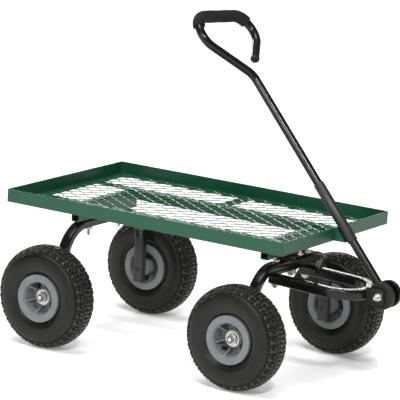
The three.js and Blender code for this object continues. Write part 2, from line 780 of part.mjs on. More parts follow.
const cheekOuter = cheekInner + cheekThickness + seat;
const pivotHex = ring(pivotAcross / Math.sqrt(3), 6);
const pivotBolt = join(
  rodY(pivotBoltDiameter, -cheekOuter - pivotHead - pivotTail, cheekOuter + 1),
  prism(pivotHex, pivotHead).rotateX(-Math.PI / 2).translate(0, cheekOuter, 0),
);
piece(frontAxle, "pivot_bolt", pivotBolt, "zinc", pivotAhead, 0, pivotZ);
const pivotNut = cut(
  prism(pivotHex, pivotHead).rotateX(Math.PI / 2).translate(0, -cheekOuter, 0),
  rodY(pivotBoltDiameter + 2 * seat, -cheekOuter - pivotHead - 1, 0),
);
piece(frontAxle, "pivot_nut", pivotNut, "zinc", pivotAhead, 0, pivotZ);

for (const { name, sign } of sides) stubAxle(frontAxle, `front_${name}`, 0, sign);

// ---- handle, built upright about its pivot ----
const handle = new THREE.Group();
handle.position.set(pivotAhead, 0, pivotZ);
handle.rotation.y = -lean;
frontAxle.add(handle);

// The hand loop in stages, so that the tube, the grip and the cap share one route.
const neckTangent = neckRadius * Math.tan(THREE.MathUtils.degToRad(neckAngle) / 2);
const toFirstCorner = [
  { run: shaftTail + shaftLength - neckTangent },
  { radius: neckRadius, turn: neckAngle, steps: 3 },
  { run: loopLeg },
];
const corner = (degrees, steps) => ({ radius: loopRadius, turn: -degrees, steps });
const handleRoute = (moves) =>
  route(new THREE.Vector2(0, -shaftTail), 90, moves, axisY, axisZ);
const wholeRoute = handleRoute([
  ...toFirstCorner,
  corner(firstCorner - gripFirst, 4), corner(gripFirst, 4),
  { run: gripBar },
  corner(gripSecond, 3), corner(secondCorner - gripSecond, 4),
  { run: loopEnd },
]);
const tubeBore = handleTube - 2 * handleWall;
const handleTubing = cut(
  sweep(wholeRoute, ring(handleTube / 2, 12), ring(tubeBore / 2, 8).reverse()),
  rodY(pivotBoltDiameter + 1, -handleTube, handleTube),
);
piece(handle, "handle_tube", handleTubing, "blackPaint");

const stationsBefore = 1 + 1 + 3 + 1;
const gripStart = stationsBefore - 1 + 4;
const gripEnd = gripStart + 4 + 1 + 3;
const grip = sweep(
  wholeRoute.slice(gripStart, gripEnd + 1),
  ring(gripDiameter / 2, 12),
  ring(handleTube / 2 + seat, 12).reverse(),
);
piece(handle, "foam_grip", grip, "foam");

const sleeve = prism(
  ring(sleeveDiameter / 2, 16), sleeveLength,
  [ring(handleTube / 2 + seat, 12).reverse()],
).translate(0, 0, sleeveStart);
piece(handle, "handle_sleeve", sleeve, "blackPaint");

// the cap plugs the open end: a disc outside the tube and a stub inside it
const tubeEnd = wholeRoute[wholeRoute.length - 1];
const outwards = tubeEnd.side.clone().cross(tubeEnd.up);
const capDisc = rodZ(handleTube + 2, seat, capLength);
const capStub = rodZ(tubeBore - 1, -capStubLength, seat + 1, 8);
const cap = join(capDisc, capStub);
cap.applyQuaternion(new THREE.Quaternion().setFromUnitVectors(axisZ, outwards.normalize()));
cap.translate(tubeEnd.place.x, tubeEnd.place.y, tubeEnd.place.z);
piece(handle, "handle_end_cap", cap, "blackPlastic");

// round discs that clamp the tube between the cheeks, each dished on its outer face
function disc(sign) {
  const half = discThickness / 2;
  const rimInside = discDiameter / 2 - discRim;
  const profile = points([
    [(pivotBoltDiameter + 1) / 2, -half], [discDiameter / 2, -half], [discDiameter / 2, half],
    [rimInside, half], [rimInside - discDish, half - discDish], [discBoss + discDish, half - discDish],
    [discBoss, half - seat], [(pivotBoltDiameter + 1) / 2, half - seat],
  ]);
  const turned = new THREE.LatheGeometry([...profile, profile[0]], discSides);
  return sign > 0 ? turned : turned.rotateX(Math.PI);
}
for (const { name, sign } of sides) {
  piece(handle, `${name}_disc`, disc(sign), "blackPaint", 0, (sign * discSpacing) / 2, 0);
}

// ---- wheels ----
const wheels = new THREE.Group();
for (const { name, sign } of sides) {
  wheel(wheels, `rear_${name}`, rearAxleX, sign);
  wheel(wheels, `front_${name}`, frontAxleX, sign);
}

// ---- the cart, shifted so that its box is centred over the origin ----
const cart = new THREE.Group();
cart.name = "garden_cart";
const rearmost = Math.min(-deckLength / 2, rearAxleX - tyreDiameter / 2);
const foremost = pivotX + discDiameter / 2;
cart.position.x = -(rearmost + foremost) / 2;
cart.add(chassis, frontAxle, wheels);

export default cart;
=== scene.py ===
import json
import math
import bpy
import numpy as np
from mathutils import Matrix, Vector


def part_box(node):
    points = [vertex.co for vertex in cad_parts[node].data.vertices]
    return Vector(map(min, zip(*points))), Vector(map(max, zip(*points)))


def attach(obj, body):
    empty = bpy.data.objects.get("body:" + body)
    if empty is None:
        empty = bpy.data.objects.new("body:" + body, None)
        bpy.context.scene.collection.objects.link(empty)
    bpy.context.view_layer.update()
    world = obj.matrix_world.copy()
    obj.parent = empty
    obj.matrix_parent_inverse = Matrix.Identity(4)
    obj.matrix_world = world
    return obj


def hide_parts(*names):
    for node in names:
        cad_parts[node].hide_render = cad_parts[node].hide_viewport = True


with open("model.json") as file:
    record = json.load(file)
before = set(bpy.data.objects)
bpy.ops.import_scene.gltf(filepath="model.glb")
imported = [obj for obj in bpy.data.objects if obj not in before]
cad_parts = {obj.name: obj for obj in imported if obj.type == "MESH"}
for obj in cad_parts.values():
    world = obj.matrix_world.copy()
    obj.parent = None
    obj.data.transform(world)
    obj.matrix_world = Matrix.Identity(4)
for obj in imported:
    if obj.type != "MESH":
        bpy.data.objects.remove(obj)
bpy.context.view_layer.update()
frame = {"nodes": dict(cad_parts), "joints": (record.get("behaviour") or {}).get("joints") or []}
scene = bpy.context.scene
joints = {joint["name"]: joint for joint in frame["joints"]}
pivot = np.array(joints["handle_fold"]["pos_m"])
wheelNames = ["rear_left", "rear_right", "front_left", "front_right"]
wheelCentres = {name: np.array(joints[name + "_spin"]["pos_m"]) for name in wheelNames}
axisX, axisY, axisZ = np.eye(3)
print("frame loaded:", len(frame["nodes"]), "nodes")


# Shader maths.
# A socket that takes part in Python arithmetic: each operator adds one Math node.
class Wire:
    def __init__(self, shader, socket):
        self.shader = shader
        self.socket = socket

    def calc(self, operation, *values):
        return self.shader.node("Math", {"operation": operation}, *values)

    def __add__(self, other):
        return self.calc("ADD", self, other)

    def __sub__(self, other):
        return self.calc("SUBTRACT", self, other)

    def __rsub__(self, other):
        return self.calc("SUBTRACT", other, self)

    def __mul__(self, other):
        return self.calc("MULTIPLY", self, other)

    def smooth(self, low, high):
        # 0 below low, 1 above high, an S-curve between
        settings = {"interpolation_type": "SMOOTHSTEP"}
        return self.shader.node("MapRange", settings, self, low, high, 0.0, 1.0)

    __radd__ = __add__
    __rmul__ = __mul__


class Shader:
    def __init__(self, name):
        self.material = bpy.data.materials.new(name)
        self.material.use_nodes = True
        self.tree = self.material.node_tree
        self.surface = self.tree.nodes["Principled BSDF"]
        self.place = self.node("TexCoord", {}, output="Object")

    def node(self, kind, settings, *values, output=0, **named):
        # Adds a node: its settings first, then its inputs in order or by name.
        made = self.tree.nodes.new("ShaderNode" + kind)
        for key, value in settings.items():
            setattr(made, key, value)
        for key, value in list(enumerate(values)) + list(named.items()):
            self.feed(made.inputs[key], value)
        return Wire(self, made.outputs[output])

    def feed(self, socket, value):
        if isinstance(value, Wire):
            self.tree.links.new(value.socket, socket)
        elif hasattr(socket.default_value, "__len__") and len(value) == 3:
            socket.default_value = (*value, 1.0)[: len(socket.default_value)]
        else:
            socket.default_value = value

    def noise(self, scale, detail, roughness=0.5, place=None):
        inputs = {"Scale": scale, "Detail": detail, "Roughness": roughness}
        return self.node("TexNoise", {}, Vector=place or self.place, **inputs)

    def cells(self, scale):
        # the distance to the nearest of scattered points
        return self.node("TexVoronoi", {}, Vector=self.place, Scale=scale)

    def stretched(self, x, y, z):
        # the same place with each direction scaled, for long or flat patterns
        return self.node("VectorMath", {"operation": "MULTIPLY"}, self.place, (x, y, z))

    def attribute(self, name):
        return self.node("Attribute", {"attribute_name": name}, output="Fac")

    def level(self):
        # the height above the ground
        return self.node("SeparateXYZ", {}, self.place, output="Z")

    def mixed(self, factor, first, second):
        made = self.tree.nodes.new("ShaderNodeMix")
        made.data_type = "RGBA"
        for key, value in ((0, factor), (6, first), (7, second)):
            self.feed(made.inputs[key], value)
        return Wire(self, made.outputs[2])

    def finish(self, color, roughness, height=None, strength=0.2, distance=0.001, **fixed):
        # the height makes the bump; the named values stay fixed
        self.feed(self.surface.inputs["Base Color"], color)
        self.feed(self.surface.inputs["Roughness"], roughness)
        for key, value in fixed.items():
            self.feed(self.surface.inputs[key.replace("_", " ")], value)
        if height is not None:
            bump = self.node("Bump", {}, Strength=strength, Distance=distance, Height=height)
            self.feed(self.surface.inputs["Normal"], bump)
        return self.material


# Finishes.
greenCoat = {
    "shade": (0.0065, 0.063, 0.03), "dusty": (0.013, 0.076, 0.041), "worn": (0.08, 0.15, 0.115),
    "roughness": 0.26, "gloss": 0.35, "cloudiness": 0.35, "orangePeel": 420.0, "wornBand": 0.0012,
}


def greenPaint(name, cloudiness=greenCoat["cloudiness"], gloss=greenCoat["gloss"]):
    # Powder coat: a fine orange peel, faint cloudy shade, and thin rubbed lines along the rails' top edge.
    s = Shader(name)
    cloud = s.noise(9.0, 4.0)
    speck = s.noise(900.0, 2.0)
    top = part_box("left_rail")[1][2]
    rubbed = s.level().smooth(top - greenCoat["wornBand"], top) * s.noise(60.0, 5.0, 0.7).smooth(0.5, 0.66)
    shade = s.mixed(cloud.smooth(0.35, 0.75) * cloudiness, greenCoat["shade"], greenCoat["dusty"])
    shade = s.mixed(rubbed * 0.7, shade, greenCoat["worn"])
    peel = s.noise(greenCoat["orangePeel"], 2.0, 0.4)
    rough = greenCoat["roughness"] + cloud * 0.1 + rubbed * 0.2 + speck * 0.04
    return s.finish(shade, rough, peel, 0.1, 0.0006, Specular_IOR_Level=gloss)


blackCoat = {
    "shade": (0.0035, 0.0035, 0.0034), "dusty": (0.011, 0.0108, 0.01), "roughness": 0.16, "gloss": 0.3,
    # the last three keys paint a reflection low down: its lighter tint, the heights it fades between, its
    # roughness
    "orangePeel": 380.0, "film": (0.05, 0.048, 0.04), "filmThins": (0.17, 0.25), "filmRoughness": 0.35,
}


def blackPaint(name, shade=blackCoat["shade"], dusty=blackCoat["dusty"], roughness=blackCoat["roughness"],
               gloss=blackCoat["gloss"], paintedReflectionShare=0.0):
    # Black coat: orange peel, a little settled dust, hairline scuffs and, where a share is given, a painted
    # reflection: a lighter greenish-brown tint low down that thins out upwards between two heights.
    s = Shader(name)
    cloud = s.noise(14.0, 5.0, 0.6)
    scuff = s.noise(55.0, 6.0, 0.75, s.stretched(1.0, 1.0, 7.0)).smooth(0.6, 0.7)
    mixed = s.mixed(cloud.smooth(0.4, 0.8) * 0.5 + scuff * 0.25, shade, dusty)
    rough = roughness + cloud * 0.12 + scuff * 0.18
    # painted reflection: a lighter tint on the lower legs, fading upwards, standing in for reflected light
    if paintedReflectionShare:
        film = (1.0 - (s.level() + cloud * 0.03).smooth(*blackCoat["filmThins"])) * paintedReflectionShare
        mixed = s.mixed(film, mixed, blackCoat["film"])
        rough = rough + film * blackCoat["filmRoughness"]
    peel = s.noise(blackCoat["orangePeel"], 2.0, 0.4)
    return s.finish(mixed, rough, peel, 0.1, 0.0006, Specular_IOR_Level=gloss)


zincCoat = {"warm": (0.42, 0.41, 0.375), "pale": (0.6, 0.6, 0.585), "spangle": (0.28, 0.28, 0.265)}


def zincPlate(name):
    # Bright zinc: faint spangle, cloudy passivation and a fine grain.
    s = Shader(name)
    spangle = s.cells(260.0)
    cloud = s.noise(70.0, 4.0, 0.6)
    shade = s.mixed(cloud.smooth(0.3, 0.7), zincCoat["warm"], zincCoat["pale"])
    shade = s.mixed(spangle.smooth(0.2, 0.8) * 0.25, shade, zincCoat["spangle"])
    rough = 0.22 + cloud * 0.22
    return s.finish(shade, rough, s.noise(900.0, 2.0), 0.08, 0.0003, Metallic=1.0)


rimMoulding = {
    "shade": (0.127, 0.13, 0.134), "flow": (0.15, 0.154, 0.156), "smudge": (0.102, 0.104, 0.104),
}


def rimPlastic(name):
    # Grey moulding: fine spark-eroded grain, faint flow marks and a few darker smudges.
    s = Shader(name)
    grain = s.noise(1300.0, 2.0, 0.6)
    flow = s.noise(26.0, 4.0, 0.6, s.stretched(1.0, 0.25, 1.0))
    shade = s.mixed(flow.smooth(0.35, 0.7), rimMoulding["shade"], rimMoulding["flow"])
    smudge = s.noise(90.0, 5.0, 0.7).smooth(0.6, 0.75)
    shade = s.mixed(smudge * 0.3, shade, rimMoulding["smudge"])
    rough = 0.42 + grain * 0.1 + smudge * 0.12
    return s.finish(shade, rough, grain, 0.12, 0.0004)


tyreCompound = {
    "shade": (0.0024, 0.0023, 0.0017), "bloom": (0.009, 0.0087, 0.0062), "pits": (0.006, 0.006, 0.0055),
    # painted shade for the grooves, and a painted highlight for the tread tips
    "grooves": (0.0018, 0.0018, 0.0016), "scuffs": (0.048, 0.047, 0.04), "gloss": 0.27,
}


def tyreRubber(name):
    # Rubber: matt bloom in clouds, small pits, painted shade in the grooves, and glossier tread tops with a
    # painted highlight on their tips.
    # The mesh's raised value is 0 in a groove, a half on the sidewall and 1 on a block.
    s, c = Shader(name), tyreCompound
    raised = s.attribute("raised")
    bloom = s.noise(13.0, 6.0, 0.65)
    pits = s.noise(700.0, 3.0, 0.6)
    shade = s.mixed(bloom.smooth(0.35, 0.7), c["shade"], c["bloom"])
    shade = s.mixed(pits.smooth(0.62, 0.75) * 0.4, shade, c["pits"])
    # painted shade: the grooves darker
    shade = s.mixed(1.0 - raised.smooth(0.0, 0.4), shade, c["grooves"])
    # painted highlight: the block tips lighter, in place of glints
    paintedTips = raised.smooth(0.82, 1.0) * s.noise(160.0, 3.0, 0.6).smooth(0.42, 0.58)
    shade = s.mixed(paintedTips * 0.8, shade, c["scuffs"])
    rough = 0.26 - raised.smooth(0.55, 0.9) * 0.08 + bloom * 0.2 + pits * 0.05
    return s.finish(shade, rough, pits, 0.18, 0.0005, Specular_IOR_Level=c["gloss"])


foamSkin = {
    "shade": (0.008, 0.008, 0.0083), "cloud": (0.016, 0.016, 0.0163), "pores": (0.003, 0.003, 0.003),
}


def foamRubber(name):
    # Closed-cell foam: small open pores with painted shade in their hollows, over a soft cloudy surface.
    s = Shader(name)
    pores = s.cells(520.0)
    fine = s.noise(1500.0, 3.0, 0.7)
    cloud = s.noise(40.0, 4.0)
    shade = s.mixed(cloud.smooth(0.3, 0.7), foamSkin["shade"], foamSkin["cloud"])
    # painted shade: the pore hollows darker
    shade = s.mixed((1.0 - pores.smooth(0.1, 0.35)) * 0.6, shade, foamSkin["pores"])
    height = pores * 0.7 + fine * 0.3
    return s.finish(shade, 0.8 + fine * 0.15, height, 0.5, 0.001, Specular_IOR_Level=0.2)


def blackMoulding(name):
    # Black plastic: a fine grain and a faint cloud between two near blacks.
    s = Shader(name)
    grain = s.noise(1100.0, 2.0, 0.6)
    cloud = s.noise(60.0, 3.0)
    shade = s.mixed(cloud, (0.004, 0.004, 0.004), (0.01, 0.01, 0.01))
    return s.finish(shade, 0.38 + grain * 0.15, grain, 0.15, 0.0004, Specular_IOR_Level=0.25)


finishes = {
    "green": greenPaint("green powder coat"),
    "meshGreen": greenPaint("green coat on mesh", 0.6, 0.45),
    "black": blackPaint("black gloss coat"),
    # the arches' coat carries a painted reflection low down
    "splashed": blackPaint("black coat with a film low down", paintedReflectionShare=0.7),
    # painted sheen: the black coat with a lighter brownish tone painted in as lit
    "olive": blackPaint("dark olive coat", (0.02, 0.0193, 0.0152), (0.032, 0.0305, 0.024), 0.5, 0.15),
    "satin": blackPaint("satin black coat", (0.012, 0.012, 0.0117), (0.024, 0.0236, 0.0222), 0.36, 0.5),
    "zinc": zincPlate("zinc plate"),
    "rim": rimPlastic("grey rim moulding"),
    "rubber": tyreRubber("tyre rubber"),
    "foam": foamRubber("charcoal foam"),
    "moulding": blackMoulding("black moulding"),
}
print("finishes made:", len(finishes))


# Shapes.
# A shell is (points, faces). All of a shape's points are worked out as arrays.
def gridShell(points, closed=False):
    # points: rows x columns x 3. Columns run round; closed joins the last row to the first,
    # otherwise the end rows are capped.
    rows, columns = points.shape[:2]
    r = np.arange(rows if closed else rows - 1)[:, None]
    c = np.arange(columns)[None, :]
    here, there = r * columns, ((r + 1) % rows) * columns
    side = (c + 1) % columns
    faces = np.stack([here + c, here + side, there + side, there + c], axis=-1).reshape(-1, 4).tolist()
    if not closed:
        faces.append(np.arange(columns)[::-1].tolist())
        faces.append((np.arange(columns) + (rows - 1) * columns).tolist())
    return outward(points.reshape(-1, 3), faces)


def outward(points, faces):
    # Six times the volume is the sum of a . (b x c) over each face's fan: if negative, the faces turn.
    quads = np.array([face for face in faces if len(face) == 4])
    a, b, c, d = (points[quads[:, k]] for k in range(4))
    volume = np.einsum("ij,ij->", a, np.cross(b, c)) + np.einsum("ij,ij->", a, np.cross(c, d))
    for face in (face for face in faces if len(face) != 4):
        p = points[face]
        volume += np.einsum("j,ij->", p[0], np.cross(p[1:-1], p[2:]))
    if volume < 0:
        faces = [face[::-1] for face in faces]
    return points, faces


def join(shells):
    counts = np.cumsum([0] + [len(points) for points, faces in shells])
    points = np.concatenate([points for points, faces in shells])
    faces = [[k + start for k in face] for start, (_, part) in zip(counts, shells) for face in part]
    return points, faces


def addPiece(name, shells, body, finish, replaced, sharp=30):
    # Shading is smooth except at edges sharper than the angle.
    points, faces = join(shells)
    mesh = bpy.data.meshes.new(name)
    mesh.from_pydata(points.tolist(), [], faces)
    mesh.validate()
    mesh.shade_smooth()
    mesh.set_sharp_from_angle(angle=math.radians(sharp))
    mesh.materials.append(finishes[finish])
    piece = bpy.data.objects.new(name, mesh)
    scene.collection.objects.link(piece)
    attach(piece, body)
    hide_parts(*replaced)
    return piece


def roundPoints(count, radius=1.0):
    # (radius cos, radius sin) at even angles
    angle = np.arange(count) * (2 * math.pi / count)
    return np.stack([radius * np.cos(angle), radius * np.sin(angle)], axis=-1)


def roundedRectangle(width, height, corner, steps=6):
    # Four quarter circles about the corner centres, counter-clockwise.
    angle = np.linspace(0, math.pi / 2, steps + 1)
    angle = (angle[None, :] + np.arange(4)[:, None] * (math.pi / 2)).ravel()
    sx = np.repeat([1, -1, -1, 1], steps + 1) * (width / 2 - corner)
    sy = np.repeat([1, 1, -1, -1], steps + 1) * (height / 2 - corner)
    return np.stack([sx + corner * np.cos(angle), sy + corner * np.sin(angle)], axis=-1)


routeSteps = {"straight": 0.02, "degrees": 4}


def walk(start, heading, moves):
    # A flat route. A run goes straight; a bend is a circle of the radius through the turn, left positive.
    # Each station holds its place, its heading and how far through its bend it is.
    spot, angle = np.array(start, float), math.radians(heading)
    places, headings, shares = [spot[None, :]], [np.array([angle])], [np.zeros(1)]
    for move in moves:
        if len(move) == 1:
            steps = max(1, int(move[0] / routeSteps["straight"]))
            along = np.linspace(0, move[0], steps + 1)[1:, None]
            path = spot + along * np.array([math.cos(angle), math.sin(angle)])
            turned, share = np.full(steps, angle), np.zeros(steps)
        else:
            radius, turn = move[0], math.radians(move[1])
            steps = max(4, int(abs(move[1]) / routeSteps["degrees"]))
            share = np.linspace(0, 1, steps + 1)[1:]
            turned = angle + turn * share
            hand = radius * math.copysign(1, turn)
            centre = spot + hand * np.array([-math.sin(angle), math.cos(angle)])
            path = centre + hand * np.stack([np.sin(turned), -np.cos(turned)], axis=-1)
        places.append(path)
        headings.append(turned)
        shares.append(share)
        spot, angle = path[-1], turned[-1]
    return np.concatenate(places), np.concatenate(headings), np.concatenate(shares)


def sweep(route, section, origin, u, v):
    # Each section point (a, b) goes to place + a * left side + b * plane normal. Sections may vary.
    places, headings = route[:2]
    left = -np.sin(headings)[:, None] * u + np.cos(headings)[:, None] * v
    spine = origin + places[:, :1] * u + places[:, 1:] * v
    section = np.broadcast_to(section, (len(spine),) + section.shape[-2:])
    normal = np.cross(u, v)
    return spine[:, None] + section[..., :1] * left[:, None] + section[..., 1:] * normal


def hollow(route, outer, inner, origin, u, v):
    # An open-ended pipe: out along the outer section, back along the inner one.
    there, back = (sweep(route, section, origin, u, v) for section in (outer, inner))
    return gridShell(np.concatenate([there, back[::-1]]), closed=True)


def tube(route, section, wall, origin, u, v):
    # The inner section is the outer one shrunk towards its middle, by the wall on every side.
    centre = (section.max(axis=0) + section.min(axis=0)) / 2
    half = (section.max(axis=0) - section.min(axis=0)) / 2
    return hollow(route, section, (section - centre) * (1 - wall / half) + centre, origin, u, v)


def turned(profile, origin, axis, segments=48, closed=False, radiusAt=None):
    # Revolves (radius, height) pairs about the axis; radiusAt may shape the radius by angle.
    axis = np.array(axis, float)
    first = np.cross(axis, axisX if abs(axis[0]) < 0.9 else axisY)
    first /= np.linalg.norm(first)
    second = np.cross(axis, first)
    profile = np.array(profile, float)
    angle = np.arange(segments) * (2 * math.pi / segments)
    radius = np.repeat(profile[:, :1], segments, axis=1)
    height = np.repeat(profile[:, 1:], segments, axis=1)
    if radiusAt is not None:
        radius, height = radiusAt(angle[None, :], radius, height)
    spoke = np.cos(angle)[:, None] * first + np.sin(angle)[:, None] * second
    points = np.array(origin) + radius[..., None] * spoke + height[..., None] * axis
    return gridShell(points, closed=closed)


nutCut = {"flatEnd": 0.93, "corner": 1.2, "coneAngle": 30}


def hexNut(origin, axis, across, low, high):
    # Six flats: apothem / cos(angle from the flat's middle). Both ends are turned off in a cone.
    def shape(angle, radius, height):
        flat = np.mod(angle, math.pi / 3) - math.pi / 6
        corner = across / 2 / np.cos(flat)
        kept = np.minimum(corner, radius * across / 2)
        drop = np.maximum(corner - across / 2, 0) * math.tan(math.radians(nutCut["coneAngle"]))
        lifted = np.where(height > (low + high) / 2, height - drop, height + drop)
        return kept, np.where(radius > 1, lifted, height)

    flatEnd, corner = nutCut["flatEnd"], nutCut["corner"]
    profile = [(flatEnd, low), (corner, low), (corner, high), (flatEnd, high)]
    return turned(profile, origin, axis, radiusAt=shape)


def washer(origin, axis, inner, outer, low, high, edge=0.0004):
    # A flat ring with its outer corners cut off.
    profile = [
        (inner, low), (outer - edge, low), (outer, low + edge),
        (outer, high - edge), (outer - edge, high), (inner, high),
    ]
    return turned(profile, origin, axis, closed=True)


thread = {"pitch": 0.00125, "depth": 0.11, "tip": 0.78}  # depth and tip as shares of the radius


def threadedRod(origin, axis, diameter, low, high, threadFrom, pitch=thread["pitch"]):
    # A plain shank, then a thread drawn as a run of V-shaped rings, then a narrower tip.
    r = diameter / 2
    turns = max(2, int(abs(high - threadFrom) / pitch))
    span = (high - threadFrom) / turns
    rows = threadFrom + (np.arange(2 * turns) + 0.5) * span / 2
    depth = np.where(np.arange(2 * turns) % 2 == 0, 0.0, thread["depth"] * r)
    profile = [(r, low), (r, threadFrom)] + list(zip(r - depth, rows)) + [(r * thread["tip"], high)]
    return turned(profile, origin, axis, 24)


def runLengths(points):
    # how far along a line each of its points is
    return np.concatenate([[0.0], np.cumsum(np.linalg.norm(np.diff(points, axis=0), axis=1))])


def boxOf(node):
    low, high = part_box(node)
    return np.array(low), np.array(high)


def middleOf(node):
    low, high = boxOf(node)
    return (low + high) / 2


# CAD nodes that keep their own shape.
softEdges = {"weld": 0.00001, "segments": 2, "overAngle": 50}


def dressNode(node, finish, width):
    # The node's corners get a small rounded edge of the width: its loose triangles are welded first.
    piece = frame["nodes"][node]
    piece.data.materials.clear()
    piece.data.materials.append(finishes[finish])
    weld = piece.modifiers.new("weld", "WELD")
    weld.merge_threshold = softEdges["weld"]
    bevel = piece.modifiers.new("edges", "BEVEL")
    bevel.width = width
    bevel.segments = softEdges["segments"]
    bevel.limit_method = "ANGLE"
    bevel.angle_limit = math.radians(softEdges["overAngle"])
    bevel.harden_normals = True


for node in ("front_rail", "rear_rail", "left_rail", "right_rail", "left_bearer", "right_bearer"):
    dressNode(node, "green", 0.0007)
for node in ("left_outrigger", "right_outrigger", "front_cross_member", "rear_cross_member", "handle_rest"):
    dressNode(node, "green", 0.0005)
for node in ("swivel_base", "steering_spacer", "left_cheek", "right_cheek", "stop_pin"):
    dressNode(node, "black", 0.0006)
# the steering plate takes the black coat with a painted lit sheen
dressNode("steering_plate", "olive", 0.0006)
print("rails and plates dressed")


# Deck mesh.
expandedMesh = {
    "longPitch": 0.052, "shortPitch": 0.037,
    "strand": 0.0019, "thickness": 0.0012, "tilt": 44.0, "bond": 0.16, "lift": 0.0001,
}


def buildDeckMesh():
    # Each strand is one zigzag along the deck between two rows of bonds. Its section stays upright
    # and tilted, and is carried along y = middle + reach * wave(x), a triangle wave with flat tips.
    m = expandedMesh
    low, high = boxOf("deck_mesh")
    columns = round((high[0] - low[0]) / m["longPitch"])
    rows = round((high[1] - low[1]) / m["shortPitch"])
    half = m["longPitch"] / 2
    flat = m["bond"] / 2
    knots = (np.arange(2 * columns + 1)[:, None] + np.array([-flat, flat])).ravel()
    knots = np.clip(knots, 0, 2 * columns)[1:-1]
    x = low[0] + knots * half
    wave = np.where(np.round(knots).astype(int) % 2 == 0, 1.0, -1.0)
    tilt = math.radians(m["tilt"])
    wide = np.array([0.0, math.cos(tilt), math.sin(tilt)]) * m["strand"] / 2
    thick = np.array([0.0, -math.sin(tilt), math.cos(tilt)]) * m["thickness"] / 2
    section = np.stack([-wide - thick, wide - thick, wide + thick, -wide + thick])
    reach = m["shortPitch"] / 4 - m["strand"] * math.cos(tilt) / 2
    centreZ = (low[2] + high[2]) / 2 + m["lift"]
    shells = []
    for row in range(2 * rows):
        middle = low[1] + (row + 0.5) * m["shortPitch"] / 2
        y = middle + wave * reach * (1 if row % 2 == 0 else -1)
        spine = np.stack([x, y, np.full_like(x, centreZ)], axis=-1)
        shells.append(gridShell(spine[:, None] + section[None]))
    addPiece("deckStrands", shells, "chassis", "meshGreen", ["deck_mesh"], 20)


buildDeckMesh()
print("deck mesh woven")


# Arches.
archTube = {
    "depth": 0.021, "width": 0.028, "span": 0.384, "bend": 0.1, "corner": 0.0045,
    "wall": 0.0025, "crease": 0.0065, "creaseHalf": 0.0105, "cornerSteps": 5, "wallPoints": 9,
}


def creasedSection(shares):
    # A rounded rectangle whose inner wall is pushed in by a V that deepens to the middle of each bend:
    # depth = crease * sin(pi * share) * (1 - |b| / half), on the inner side only.
    a = archTube
    section = roundedRectangle(a["depth"], a["width"], a["corner"], a["cornerSteps"])
    wallFrom = 2 * (a["cornerSteps"] + 1)  # the inner wall runs between the second corner and the third
    flat = a["width"] / 2 - a["corner"]
    inner = np.linspace(flat, -flat, a["wallPoints"] + 2)[1:-1]
    wallPoints = np.stack([np.full_like(inner, -a["depth"] / 2), inner], axis=-1)
    section = np.concatenate([section[:wallFrom], wallPoints, section[wallFrom:]])
    onInner = np.isclose(section[:, 0], -a["depth"] / 2)
    veed = np.maximum(0, 1 - np.abs(section[:, 1]) / a["creaseHalf"]) * onInner
    depth = a["crease"] * np.sin(math.pi * np.minimum(shares, 1.0))
    varied = np.repeat(section[None], len(shares), axis=0)
    varied[:, :, 0] += depth[:, None] * veed[None]
    return varied


def buildArch(node, body):
    # A leg, a quarter bend, the span, a quarter bend and a leg, with the creased section carried along.
    a = archTube
    low, high = boxOf(node)
    top, bottom = high[2], low[2]
    x = (low[0] + high[0]) / 2
    leg = top - a["bend"] - bottom
    inset = a["span"] / 2 - a["depth"] / 2
    bend = a["bend"] - a["depth"] / 2
    moves = [(leg,), (bend, -90), (a["span"] - 2 * a["bend"],), (bend, -90), (leg,)]
    route = walk((-inset, bottom), 90, moves)
    section = creasedSection(route[2])
    inside = section * (1 - 2 * a["wall"] / a["depth"])
    shell = hollow(route, section, inside, x * axisX, axisY, axisZ)
    addPiece(node + "_tube", [shell], body, "splashed", [node], 24)


buildArch("rear_arch", "chassis")
buildArch("front_arch", "front_axle")


# Tongue.
tongueTube = {
    "halfWidth": 0.0892, "bar": 0.029, "height": 0.0253, "corner": 0.006, "wall": 0.0025,
    "rear": 0.01, "nose": 0.15, "fall": 2.4,
}


def buildTongue():
    # Two straight arms joined by a half circle at the nose, all sloping down a little to the front.
    t = tongueTube
    low, high = boxOf("tongue_loop")
    fall = math.radians(t["fall"])
    along = np.array([math.cos(fall), 0.0, -math.sin(fall)])
    up = np.array([math.sin(fall), 0.0, math.cos(fall)])
    bend = t["halfWidth"] - t["bar"] / 2
    start = np.array([low[0], 0.0, high[2]]) - up * t["height"] / 2
    run = t["rear"] + t["nose"]
    route = walk((0.0, -bend), 0, [(run,), (bend, 180), (run,)])
    section = roundedRectangle(t["bar"], t["height"], t["corner"])
    shell = tube(route, section, t["wall"], start, along, axisY)
    addPiece("tongueTube", [shell], "front_axle", "black", ["tongue_loop"], 28)


buildTongue()
print("arches and tongue bent")


# Handle.
handleShape = {
    "lean": 40.46, "tube": 0.022, "wall": 0.0015, "tail": 0.014, "shaft": 0.6515,
    "neckAngle": 45.6, "neckRadius": 0.045, "loopLeg": 0.118, "loopRadius": 0.0497,
    "firstCorner": 141.0, "gripBar": 0.126, "secondCorner": 133.0, "loopEnd": 0.0607,
    "sleeve": 0.027, "sleeveStart": 0.1565, "sleeveLength": 0.17, "sleeveEnd": 0.0012, "sleeveGap": 0.0002,
}
gripShape = {
    "diameter": 0.0315, "first": 64.7, "second": 55.5, "gap": 0.0003,
    "swell": 0.00028, "swellWaves": 95.0, "roundEnd": 0.004, "endShare": 0.35,
}
capShape = {"diameter": 0.0242, "length": 0.009, "lip": 0.0012, "lipStep": 0.0006}

lean = math.radians(handleShape["lean"])
shaftUp = np.array([-math.sin(lean), 0.0, math.cos(lean)])


